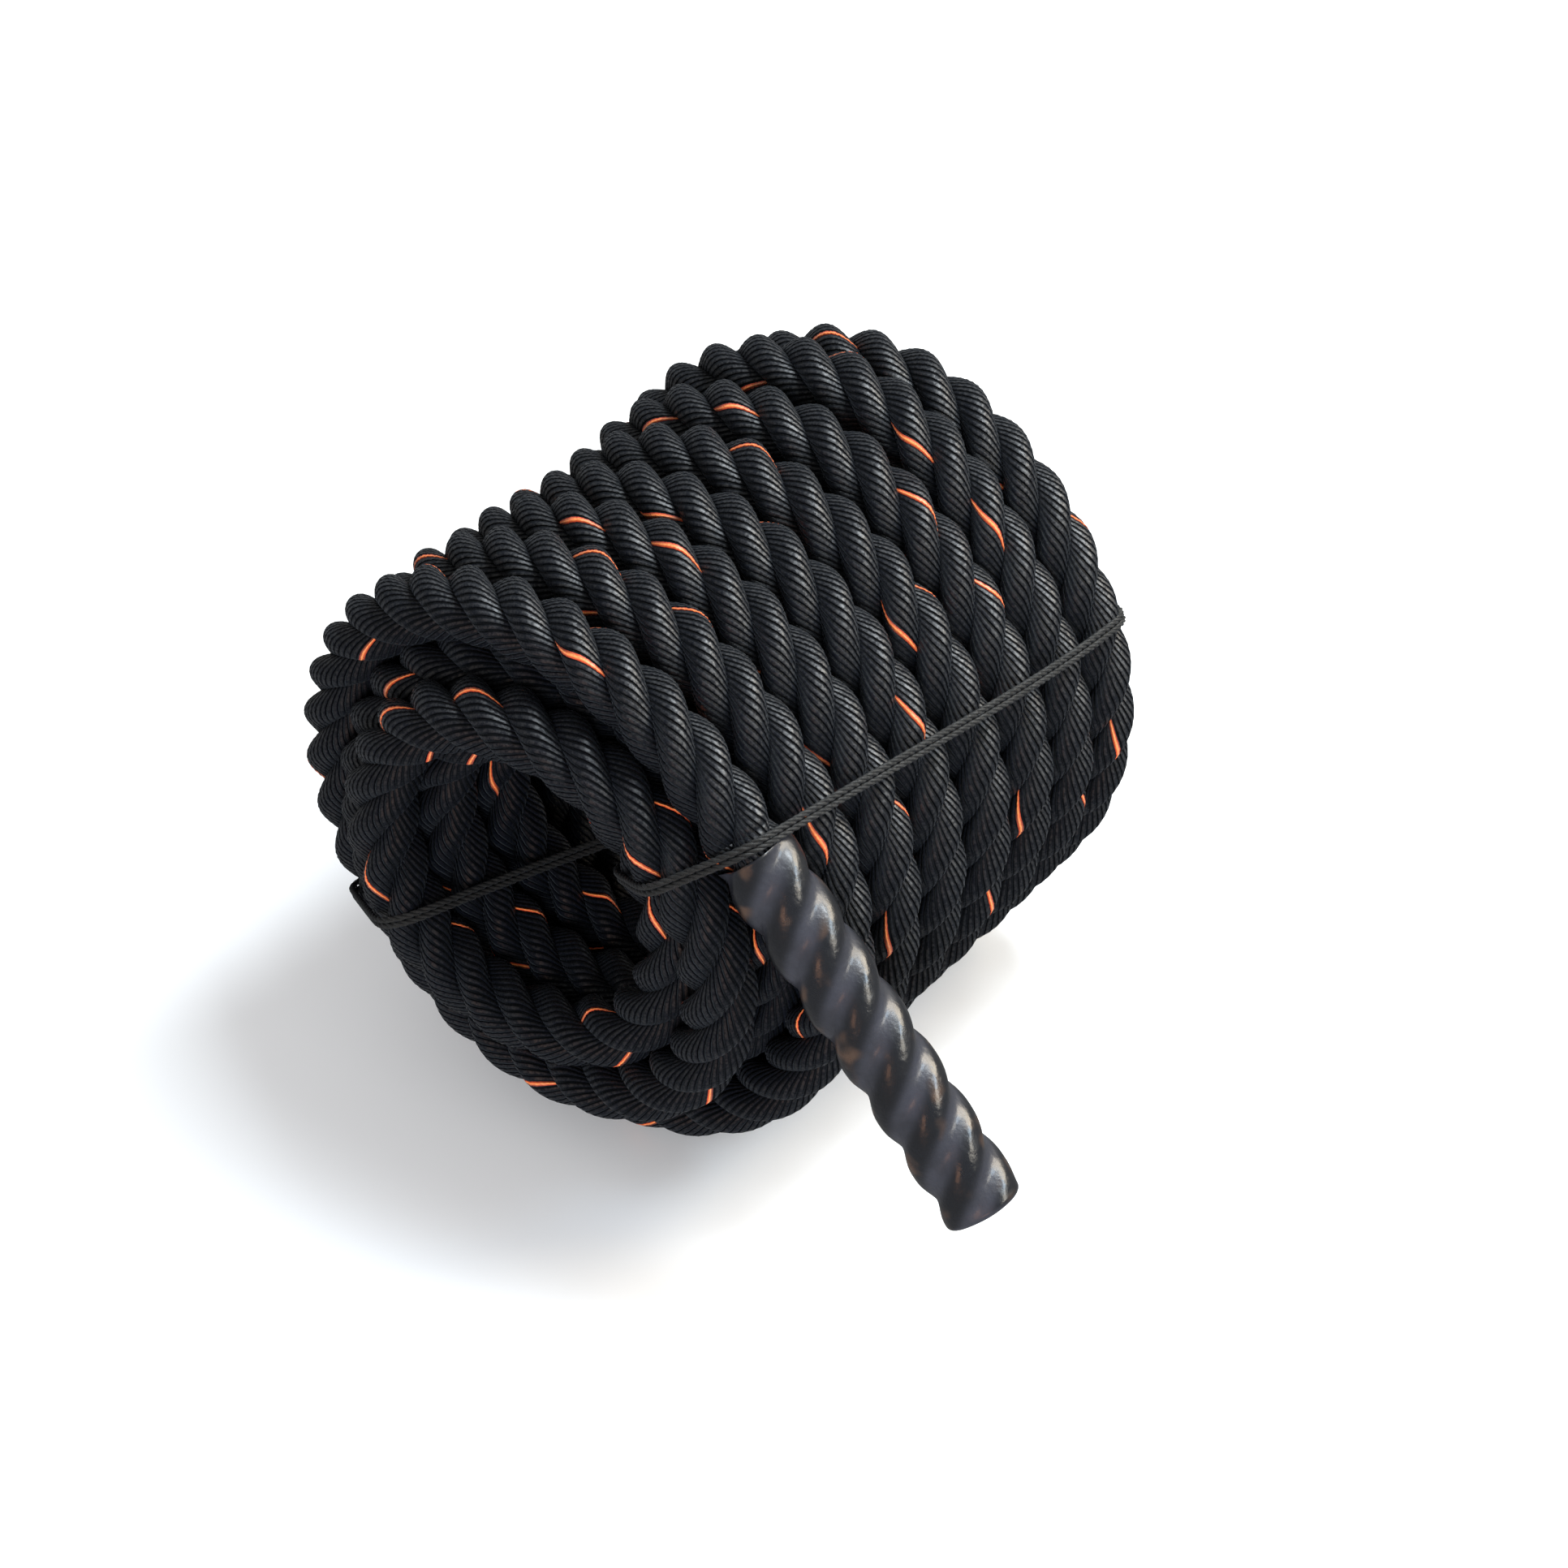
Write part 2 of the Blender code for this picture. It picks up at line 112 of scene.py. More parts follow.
def resampled(points: np.ndarray, step: float) -> np.ndarray:
    """The same line with points at even spacing.

    Args:
        points: the line's points, one row each.
        step: the wanted spacing.

    Returns:
        The new points, the first and last ones included.
    """
    lengths = distances(points)
    wanted = np.linspace(0.0, lengths[-1], max(2, round(lengths[-1] / step) + 1))
    return np.stack([np.interp(wanted, lengths, points[:, axis]) for axis in range(3)], axis=1)


def softened(points: np.ndarray, reach: int) -> np.ndarray:
    """The line with its corners rounded by a bell-shaped running mean, its ends kept.

    Args:
        points: evenly spaced points.
        reach: how many points on each side are taken into the mean, which is BELL_SPREADS of its spread.

    Returns:
        The softened points, as many as before.
    """
    weights = np.exp(-0.5 * (np.arange(-reach, reach + 1) / (reach / BELL_SPREADS)) ** 2)
    weights /= weights.sum()
    head = points[0] - (points[1:reach + 1][::-1] - points[0])
    tail = points[-1] - (points[-reach - 1:-1][::-1] - points[-1])
    padded = np.concatenate([head, points, tail])
    return np.stack([np.convolve(padded[:, axis], weights, "valid") for axis in range(3)], axis=1)


def smooth_step(share: np.ndarray) -> np.ndarray:
    """A share from 0 to 1, eased at both ends."""
    return share * share * (3 - 2 * share)


def rounded_noise(places: np.ndarray, period: float, seed: int) -> np.ndarray:
    """A smooth random wander along a line, from -1 to 1 in each direction.

    Args:
        places: distances along the line.
        period: the spacing of the random values that it runs between.
        seed: the random seed.

    Returns:
        One row of three numbers for each place.
    """
    count = int(places.max() / period) + 3
    values = np.random.default_rng(seed).uniform(-1.0, 1.0, (count, 3))
    index = np.floor(places / period).astype(int)
    share = smooth_step(places / period - index)[:, None]
    return values[index] * (1 - share) + values[index + 1] * share


def linked(name: str, data: bpy.types.ID) -> Object:
    """A new object of the scene that holds some data."""
    obj = bpy.data.objects.new(name, data)
    bpy.context.scene.collection.objects.link(obj)
    return obj


def curve_object(name: str, points: np.ndarray) -> Object:
    """A bare curve object along some points, for a node tree to work on.

    Args:
        name: the object's name.
        points: the line's points.

    Returns:
        The new object.
    """
    curve = bpy.data.curves.new(name, "CURVE")
    curve.dimensions = "3D"
    curve.twist_mode = "MINIMUM"
    spline = curve.splines.new("POLY")
    spline.points.add(len(points) - 1)
    flat = np.concatenate([points, np.ones((len(points), 1))], axis=1)
    spline.points.foreach_set("co", flat.astype(np.float32).ravel())
    return linked(name, curve)


def ended(bm: BMesh, name: str) -> Mesh:
    """A mesh in the making turned into a named mesh."""
    mesh = bpy.data.meshes.new(name)
    bm.to_mesh(mesh)
    bm.free()
    return mesh


def mesh_object(mesh: Mesh, material: Material) -> Object:
    """An object at the origin that has its mesh's name and one material.

    Args:
        mesh: the mesh.
        material: the material, in place of any that the mesh has.

    Returns:
        The new object.
    """
    mesh.materials.clear()
    mesh.materials.append(material)
    return linked(mesh.name, mesh)


def fitted(mesh: Mesh, material: Material, body: str, node: str) -> Object:
    """A piece of the object in place of one node.

    Args:
        mesh: the mesh, which has the piece's name.
        material: its material.
        body: the body that it rides on.
        node: the node that it replaces.

    Returns:
        The piece.
    """
    piece = mesh_object(mesh, material)
    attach(piece, body)
    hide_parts(node)
    LOG.info("%s: %d faces", piece.name, len(mesh.polygons))
    return piece


# Node tree helpers


def set_inputs(tree: Tree, node: Node, values: dict[str | int, object]) -> None:
    """Fills inputs of a node.

    Args:
        tree: the node's tree.
        node: the node.
        values: for an input's name or number the socket to link or the plain value to set.
    """
    for key, value in values.items():
        if isinstance(value, Socket):
            tree.links.new(value, node.inputs[key])
        else:
            node.inputs[key].default_value = value


def add(tree: Tree, kind: str, values: dict[str | int, object] | None = None, **settings: object) -> Node:
    """One new node.

    Args:
        tree: the tree that it is made in.
        kind: Blender's name for its type.
        values: what goes into its inputs.
        settings: the node's own settings by name.

    Returns:
        The node.
    """
    node = tree.nodes.new(kind)
    for name, setting in settings.items():
        setattr(node, name, setting)
    set_inputs(tree, node, values or {})
    return node


def shared_group(name: str, kind: str, inputs: Types, outputs: Types, fill: Filler) -> Tree:
    """A node group that is built only once.

    Args:
        name: the group's name.
        kind: Blender's name for the type of tree.
        inputs: the type of each input by its name.
        outputs: the type of each output by its name.
        fill: makes the nodes between the inputs and the outputs.

    Returns:
        The group.
    """
    found = bpy.data.node_groups.get(name)
    if found:
        return found
    tree = bpy.data.node_groups.new(name, kind)
    for direction, sockets in (("INPUT", inputs), ("OUTPUT", outputs)):
        for label, socket in sockets.items():
            tree.interface.new_socket(label, in_out=direction, socket_type=f"NodeSocket{socket}")
    add(tree, "NodeGroupOutput", fill(tree, add(tree, "NodeGroupInput").outputs))
    return tree


def effect(tree: Tree, name: str, values: dict[str, float], results: tuple[str, ...], fill: Filler) -> Wires:
    """A shared shader group in a material's tree.

    Args:
        tree: the material's tree.
        name: the group's name.
        values: the numbers that go into it.
        results: the names of its outputs.
        fill: makes the group's nodes.

    Returns:
        The outputs by name.
    """
    inputs, outputs = dict.fromkeys(values, "Float"), dict.fromkeys(results, "Float")
    group = shared_group(name, "ShaderNodeTree", inputs, outputs, fill)
    return add(tree, "ShaderNodeGroup", values, node_tree=group).outputs


def maths(tree: Tree, operation: str, *values: Value) -> Socket:
    """The result of one Math node, from its one to three values."""
    return add(tree, "ShaderNodeMath", dict(enumerate(values)), operation=operation).outputs[0]


def mixed(tree: Tree, share: Socket, first: Socket | Triple, second: Socket | Triple) -> Socket:
    """The result of one Mix node for colours.

    Args:
        tree: the tree that it is made in.
        share: how much of the second colour shows.
        first: the colour at 0.
        second: the colour at 1.

    Returns:
        The node's colour output.
    """
    first, second = (part if isinstance(part, Socket) else (*part, 1.0) for part in (first, second))
    node = add(tree, "ShaderNodeMix", {"Factor": share}, data_type="RGBA")
    set_inputs(tree, node, {6: first, 7: second})
    return node.outputs[2]


def eased(
    tree: Tree, value: Socket, low: Value, high: Value, start: Value = 0.0, end: Value = 1.0,
) -> Socket:
    """A smooth step of a value, which is at its start up to low and at its end from high."""
    values = {"Value": value, "From Min": low, "From Max": high, "To Min": start, "To Max": end}
    return add(tree, "ShaderNodeMapRange", values, interpolation_type="SMOOTHSTEP").outputs["Result"]


def noise(tree: Tree, scale: Value, detail: Value, roughness: Value) -> Socket:
    """The value of a Noise Texture on Object coordinates, its scale in features for each metre."""
    values = {"Vector": add(tree, "ShaderNodeTexCoord").outputs["Object"], "Scale": scale}
    values |= {"Detail": detail, "Roughness": roughness}
    return add(tree, "ShaderNodeTexNoise", values).outputs["Fac"]


def new_material(name: str, colour: Triple) -> tuple[Material, Node]:
    """A node material with its Principled shader.

    Args:
        name: the material's name.
        colour: the viewport colour.

    Returns:
        The material and its Principled BSDF node.
    """
    material = bpy.data.materials.new(name)
    material.use_nodes = True
    material.diffuse_color = (*colour, 1.0)
    return material, material.node_tree.nodes["Principled BSDF"]


def bump(tree: Tree, shader: Node, height: Socket, distance: float, strength: float = 1.0) -> None:
    """Feeds a height into the shader's Normal, where a height of 1 stands for the distance."""
    node = add(tree, "ShaderNodeBump", {"Strength": strength, "Distance": distance, "Height": height})
    set_inputs(tree, shader, {"Normal": node.outputs["Normal"]})


# Finishes


@dataclass(frozen=True)
class Mottle:
    """An eased noise, which dust, wear, clouds and painted reflection spots are made of."""

    scale: float
    detail: float
    roughness: float
    low: float
    high: float
    start: float = 0.0
    end: float = 1.0

    def nodes(self, tree: Tree, inputs: Wires) -> Wires:
        """Makes the nodes of the group that every mottle uses."""
        cloud = noise(tree, inputs["Scale"], inputs["Detail"], inputs["Roughness"])
        return {"Amount": eased(tree, cloud, inputs["Low"], inputs["High"], inputs["Start"], inputs["End"])}

    def amount(self, tree: Tree) -> Socket:
        """The mottle as a socket of a material's tree."""
        values = {name.title(): number for name, number in asdict(self).items()}
        return effect(tree, "mottle", values, ("Amount",), self.nodes)["Amount"]


@dataclass(frozen=True)
class LaidFinish:
    """Matt twisted yarn on laid strands with painted shade between yarns; the first may hold a bright tracer
    yarn.

    The second strand's tracer yarn comes to the surface only in a share of its turns.

    The mesh's UV map gives the strand's number plus the share of the way across the strand in U,
    and the metres along the rope in V.
    """

    name: str
    yarn: Triple
    # Painted shade: the dark colour of the grooves between yarns.
    gap_shade: Triple
    tracer: Triple
    tracer_yarns: float
    yarns: float
    crowding: float
    yarn_pitch: float
    sweep: float
    relief: float
    roughness: float
    tracer_place: float = 0.0
    second_tracer: float = 0.0
    specular: float = 0.10
    gloss: float = 1.76
    crest_mask: tuple[float, float] = (0.40, 0.95)
    ridge_mask: tuple[float, float] = (0.62, 1.0)
    # Painted highlight on the tracer: where its yarn stands high, it is lighter and gold.
    tracer_highlight_mask: tuple[float, float] = (0.35, 1.2)
    lit_mask: Triple = (0.3, 0.6, 0.35)
    fading: float = 1.55
    shading: float = 0.55
    sheen: float = 0.04
    sheen_roughness: float = 0.45
    sheen_tint: Triple = (0.62, 0.72, 0.85)
    dust: Mottle = Mottle(55.0, 3.0, 0.6, 0.45, 0.8, 0.0, 0.35)
    wear: Mottle = Mottle(480.0, 3.0, 0.65, 0.36, 0.64, 0.30, 1.30)
    fibre: Triple = (900.0, 2.0, 0.6)
    fibre_height: float = 0.18
    fibre_roughness: tuple[float, float] = (0.24, 0.34)
    # Painted shade on the tracer: shares of its colour for the darker, redder sides of its yarn.
    tracer_shade_share: Triple = (0.8, 0.3, 0.45)
    yarn_fullness: ClassVar[float] = 0.62
    tracer_rise: ClassVar[float] = 1.25
    turn_spread: ClassVar[float] = 0.382

    def nodes(self, tree: Tree, inputs: Wires) -> Wires:
        """Makes the nodes of the group that finds the yarns of a laid strand.

        Args:
            tree: the group's tree.
            inputs: the group's inputs.

        Returns:
            What goes into its outputs.
        """
        calc = partial(maths, tree)
        uv = add(tree, "ShaderNodeUVMap", uv_map="lay").outputs["UV"]
        split = add(tree, "ShaderNodeSeparateXYZ", {"Vector": uv}).outputs
        across, along = split["X"], split["Y"]
        strand = calc("FLOOR", across)
        angle = calc("MULTIPLY", calc("SUBTRACT", calc("FRACT", across), 0.5), inputs["Sweep"])
        crowd = calc("MULTIPLY", calc("SINE", angle), inputs["Crowding"])
        share = calc("DIVIDE", calc("SUBTRACT", angle, crowd), 2 * pi)
        passed = calc("DIVIDE", along, inputs["Yarn Pitch"])
        turns = calc("ADD", calc("ADD", share, passed), inputs["Tracer Place"])
        count = calc("MULTIPLY", turns, inputs["Yarns"])
        ridge = calc("SINE", calc("MULTIPLY", calc("FRACT", count), pi))
        crest = calc("POWER", calc("MAXIMUM", ridge, 0.0), self.yarn_fullness)

        within = calc("MULTIPLY", calc("FRACT", turns), inputs["Yarns"])
        wide = calc("LESS_THAN", within, inputs["Tracer Yarns"])
        first = calc("LESS_THAN", strand, 0.5)
        turn_place = calc("FRACT", calc("MULTIPLY", calc("FLOOR", turns), self.turn_spread))
        shown = calc("LESS_THAN", turn_place, inputs["Second Tracer"])
        second = calc("MULTIPLY", calc("COMPARE", strand, 1.0, 0.4), shown)
        tracer = calc("MULTIPLY", wide, calc("MAXIMUM", first, second))
        fat = calc("MINIMUM", calc("DIVIDE", within, inputs["Tracer Yarns"]), 1.0)
        raised = calc("MULTIPLY", calc("SINE", calc("MULTIPLY", fat, pi)), self.tracer_rise)
        height = add(tree, "ShaderNodeMix", {"Factor": tracer, 2: crest, 3: raised}).outputs[0]

        number = calc("MODULO", calc("FLOOR", count), inputs["Yarns"])
        one_yarn = add(tree, "ShaderNodeCombineXYZ", {"X": number, "Y": strand}).outputs["Vector"]
        shade = add(tree, "ShaderNodeTexWhiteNoise", {"Vector": one_yarn}).outputs["Value"]
        return {"Height": height, "Crest": crest, "Tracer": tracer, "Shade": shade}

    def material(self) -> Material:
        """Builds the material.

        Returns:
            The finished material.
        """
        material, shader = new_material(self.name, self.yarn)
        tree = material.node_tree
        calc = partial(maths, tree)
        values = {
            "Yarns": self.yarns, "Crowding": self.crowding, "Yarn Pitch": self.yarn_pitch,
            "Sweep": self.sweep, "Tracer Yarns": self.tracer_yarns, "Tracer Place": self.tracer_place,
            "Second Tracer": self.second_tracer,
        }
        results = ("Height", "Crest", "Tracer", "Shade")
        laid = effect(tree, "laid_yarns", values, results, self.nodes)
        crest = eased(tree, laid["Crest"], *self.crest_mask)
        faded = tuple(min(1.0, part * self.fading) for part in self.yarn)
        # Painted shade: the grooves between yarns take the dark gap colour, and the yarn tops keep the yarn
        # colour.
        base = mixed(tree, crest, self.gap_shade, self.yarn)
        shade = calc("MULTIPLY", calc("MULTIPLY", laid["Shade"], crest), self.shading)
        base = mixed(tree, shade, base, faded)
        base = mixed(tree, calc("MULTIPLY", self.dust.amount(tree), crest), base, faded)

        fibre = noise(tree, *self.fibre)
        # Painted highlight and shade on the tracer yarn: lighter gold on its top and darker red at its
        # sides.
        tracer_shade = tuple(part * share for part, share in zip(self.tracer, self.tracer_shade_share))
        tracer_highlight = eased(tree, laid["Height"], *self.tracer_highlight_mask)
        lit = calc("MULTIPLY", eased(tree, fibre, *self.lit_mask), tracer_highlight)
        bright = mixed(tree, lit, tracer_shade, self.tracer)
        ridge = eased(tree, laid["Crest"], *self.ridge_mask)
        set_inputs(tree, shader, {
            "Base Color": mixed(tree, laid["Tracer"], base, bright),
            "Roughness": calc("MULTIPLY_ADD", fibre, *self.fibre_roughness),
            "Specular IOR Level": self.specular,
            "Coat Weight": calc("MULTIPLY", ridge, self.wear.amount(tree)),
            "Coat Roughness": self.roughness,
            "Coat IOR": self.gloss,
            "Sheen Weight": self.sheen,
            "Sheen Roughness": self.sheen_roughness,
            "Sheen Tint": (*self.sheen_tint, 1.0),
        })
        bump(tree, shader, calc("MULTIPLY_ADD", fibre, self.fibre_height, laid["Height"]), self.relief)
        return material


@dataclass(frozen=True)
class ShrinkFinish:
    """Satin dark film shrunk over the rope, darker and glossier where it is stretched, with painted warm
    reflections.
    """

    name: str
    film: Triple
    stretched: Triple
    # The warm colour of the painted reflection spots on the crests.
    warm_reflection: Triple
    roughness: float
    cloud: Mottle = Mottle(60.0, 3.0, 0.55, 0.35, 0.7)
    cloud_share: float = 0.35
    crest_share: float = 0.88
    # Where the painted warm reflection shows on the crests.
    reflection_spots: Mottle = Mottle(70.0, 1.0, 0.5, 0.55, 0.78)
    crest_mask: tuple[float, float] = (0.1, 1.0)
    smear: Triple = (60.0, 5.0, 0.65)
    smear_roughness: float = 0.34
    groove_roughness: float = 0.14
    specular: float = 0.6
    coat: float = 0.40
    coat_roughness: float = 0.17
    waves: tuple[Triple, Triple] = ((260.0, 3.0, 0.5), (110.0, 2.0, 0.5))
    wave_height: float = 0.0008
    wave_strength: float = 0.5

    def material(self) -> Material:
        """Builds the material.

        Returns:
            The finished material.
        """
        material, shader = new_material(self.name, self.film)
        tree = material.node_tree
        calc = partial(maths, tree)
        stretch = add(tree, "ShaderNodeAttribute", attribute_name="stretch")
        crest = eased(tree, stretch.outputs["Fac"], *self.crest_mask)
        cloud = calc("MULTIPLY", self.cloud.amount(tree), self.cloud_share)
        base = mixed(tree, cloud, self.film, self.stretched)
        base = mixed(tree, calc("MULTIPLY", crest, self.crest_share), base, self.stretched)
        # Painted reflection: warm brownish spots on the crests stand in for the glint of a warm lamp.
        base = mixed(tree, calc("MULTIPLY", self.reflection_spots.amount(tree), crest), base, self.warm_reflection)
        least = self.roughness - self.smear_roughness / 2
        rough = calc("MULTIPLY_ADD", noise(tree, *self.smear), self.smear_roughness, least)
        dull = calc("MULTIPLY_ADD", crest, -self.groove_roughness, self.groove_roughness)
        set_inputs(tree, shader, {
            "Base Color": base,
            "Roughness": calc("ADD", rough, dull),
            "Specular IOR Level": self.specular,
            "Coat Weight": self.coat,
            "Coat Roughness": self.coat_roughness,
        })
        fine = calc("ADD", *(noise(tree, *wave) for wave in self.waves))
        bump(tree, shader, fine, self.wave_height, self.wave_strength)
        return material


@dataclass(frozen=True)
class TapeFinish:
    """Matt woven binding tape under the sleeve."""

    name: str
    colour: Triple
    lighter: float = 2.2
    weave: Mottle = Mottle(220.0, 3.0, 0.6, 0.35, 0.7)
    thread: Triple = (700.0, 2.0, 0.5)
    thread_height: float = 0.0002
    thread_strength: float = 0.6
    roughness: float = 0.6

    def material(self) -> Material:
        """Builds the material.

        Returns:
            The finished material.
        """
        material, shader = new_material(self.name, self.colour)
        tree = material.node_tree
        light = tuple(part * self.lighter for part in self.colour)
        base = mixed(tree, self.weave.amount(tree), self.colour, light)
        set_inputs(tree, shader, {"Base Color": base, "Roughness": self.roughness})
        bump(tree, shader, noise(tree, *self.thread), self.thread_height, self.thread_strength)
        return material


# The rope's route


@dataclass
class RopeRoute:
    """Where the rope runs, from the tip of the outer grip to the tip of the inner one."""

    rope_diameter: float = 0.038
    coil_diameter: float = 0.342
    turn_gap: float = 0.0008
    layer_gap: float = 0.0010
    start_angle: float = 43.0
    rest_angle: float = 270.0
    lead_turns: float = 0.5
    lead_advance: float = 0.0030
    outer_turns: float = 6.5
    middle_turns: float = 7.5
    inner_turns: int = 2
    climb_turns: float = 0.5
    turns_before_origin: int = 3
    bend_radius: float = 0.057
    bend_steps: int = 6
    inner_grip_angle: float = 353.0
    inner_grip_radius: float = 0.079067
    grip_length: float = 0.192
    end_thickness: float = 0.0033
    axis_height: float = 0.164562
    step: float = 0.0025
    corner_reach: int = 8
    points_per_turn: int = 96
    rope_sides: int = 6
    floor_clearance: float = 0.0002
    floor_softness: float = 0.004
    wander: float = 0.0006
    wander_period: float = 0.16
    wander_seed: int = 5
    swell: float = 0.0130
    swell_back: float = 0.0095
    swell_angle: float = 98.5
    swell_width: float = 71.0
    swell_start: float = -0.02
    swell_end: float = 0.15
    sag: float = 0.0066
    sag_angle: float = 140.0
    sag_width: float = 70.0
    sag_middle: float = 0.03
    sag_reach: float = 0.09
    slump: float = 0.0050
    slump_angle: float = 235.0
    slump_width: float = 80.0

    def stages(self) -> list[tuple[float, float, float, float]]:
        """The layers and climbs of the coil.

        Returns:
            For each stage its turns, first and last radius and advance in a turn.
        """
        pitch = self.rope_diameter + self.turn_gap
        layer = self.rope_diameter * cos(pi / self.rope_sides) + self.layer_gap
        outer = self.coil_diameter / 2 - self.rope_diameter / 2
        middle, inner = outer - layer, outer - 2 * layer
        lead = pitch + self.lead_advance / self.lead_turns
        turned = self.lead_turns + self.outer_turns + self.middle_turns + 2 * self.climb_turns
        climbed = self.start_angle + FULL_TURN * turned
        bend = self.bend_stations(climbed, 0.0, inner)[-1][0] - climbed
        last = self.inner_turns + (self.inner_grip_angle - bend - climbed) % FULL_TURN / FULL_TURN
        return [
            (self.lead_turns, outer, outer, lead),
            (self.outer_turns, outer, outer, pitch),
            (self.climb_turns, outer, middle, 0.0),
            (self.middle_turns, middle, middle, -pitch),
            (self.climb_turns, middle, inner, 0.0),
            (last, inner, inner, pitch),
        ]

    def bend_stations(self, angle: float, y: float, radius: float) -> list[Triple]:
        """The inner end's quarter bend from round the coil to along its axis.

        Args:
            angle: degrees where the bend starts.
            y: place along the axis where it starts.
            radius: distance from the axis where it starts.

        Returns:
            Angle, place along the axis and radius of each point.
        """
        found = []
        reach = 0.0
        for step in range(1, self.bend_steps + 1):
            turn = pi / 2 * step / self.bend_steps
            advance = self.bend_radius * sin(turn) - reach
            reach += advance
            here = radius + (self.inner_grip_radius - radius) * step / self.bend_steps
            angle += advance / here * FULL_TURN / (2 * pi)
            found.append((angle, y + self.bend_radius * (1 - cos(turn)), here))
        return found

    def points(self) -> np.ndarray:
        """The rope's centre line in the part's frame.

        Returns:
            Evenly spaced points, one row each.
        """
        pitch = self.rope_diameter + self.turn_gap
        turned = self.turns_before_origin + (self.rest_angle - self.start_angle) / FULL_TURN
        angle, y = self.start_angle, -pitch * turned - self.lead_advance
        stages = self.stages()
        stations = [(angle, y, stages[0][1])]
        for turns, first, last, advance in stages:
            steps = round(turns * self.points_per_turn)
            for step in range(1, steps + 1):
                angle += FULL_TURN * turns / steps
                y += advance * turns / steps
                stations.append((angle, y, first + (last - first) * step / steps))
        stations += self.bend_stations(*stations[-1])
        line = [on_coil(*station) for station in stations]
        start = radians(self.start_angle)
        straight = self.rope_diameter + self.grip_length - self.end_thickness
        out = np.array((sin(start), 0.0, -cos(start)))
        line = [line[0] + out * straight] + line + [line[-1] + np.array((0.0, straight, 0.0))]
        line = softened(resampled(np.array(line), self.step), self.corner_reach)
        places = np.arange(len(line)) * self.step
        leads = self.grip_length + self.rope_diameter
        fade = np.clip((np.minimum(places, places[-1] - places) - leads) / (2 * leads), 0.0, 1.0)
        line = self.uneven(self.wandering(line), fade)
        line[:, 2] += self.axis_height
        return self.on_floor(line)

    def uneven(self, line: np.ndarray, fade: np.ndarray | float = 1.0) -> np.ndarray:
        """Points moved as the coil is uneven: its back swells at the top, its middle sags at the
        side and its front slumps forward below.

        Args:
            line: points of the even coil, in the coil's frame.
            fade: how much of the movement each point takes.

        Returns:
            The moved points.
        """
        angles = np.degrees(np.arctan2(line[:, 2], line[:, 0]))
        out = line * (1.0, 0.0, 1.0)
        out /= np.linalg.norm(out, axis=1)[:, None]

        def bell(middle: float, width: float) -> np.ndarray:
            """1 at an angle round the coil, falling to 0 at a width on each side of it."""
            away = np.abs((angles - middle + FULL_TURN / 2) % FULL_TURN - FULL_TURN / 2)
            return np.where(away < width, np.cos(pi / 2 * away / width) ** 2, 0.0) * fade

        def rise(places: np.ndarray) -> np.ndarray:
            """A smooth step from 0 to 1 towards an end of the coil."""
            reach = self.swell_end - self.swell_start
            return smooth_step(np.clip((places - self.swell_start) / reach, 0.0, 1.0))

        swell = bell(self.swell_angle, self.swell_width) * rise(line[:, 1])
        slump = bell(self.slump_angle, self.slump_width) * rise(-line[:, 1] + 2 * self.swell_start)
        beside = (line[:, 1] - self.sag_middle) / self.sag_reach
        sag = bell(self.sag_angle, self.sag_width) * np.exp(-(beside**2))
        line = line + out * (self.swell * swell - self.sag * sag)[:, None]
        line[:, 1] += self.swell_back * swell - self.slump * slump
        return line

    def wandering(self, line: np.ndarray) -> np.ndarray:
        """The line with the slight unevenness of a hand-wound coil, none near the grips.

        Args:
            line: the even line.

        Returns:
            The uneven line.
        """
        places = np.arange(len(line)) * self.step
        clear = self.grip_length + 2 * self.rope_diameter
        fade = np.clip(np.minimum(places, places[-1] - places) / clear - 1.0, 0.0, 1.0)[:, None]
        return line + rounded_noise(places, self.wander_period, self.wander_seed) * fade * self.wander

    def on_floor(self, line: np.ndarray) -> np.ndarray:
        """The line lifted softly where the rope would sink into the floor.

        Args:
            line: the line before it settles.

        Returns:
            The settled line.
        """
        least = self.rope_diameter / 2 + self.floor_clearance
        above = line[:, 2] - least
        line = line.copy()
        line[:, 2] = least + (above + np.sqrt(above * above + self.floor_softness**2)) / 2
        return line


# The laid rope


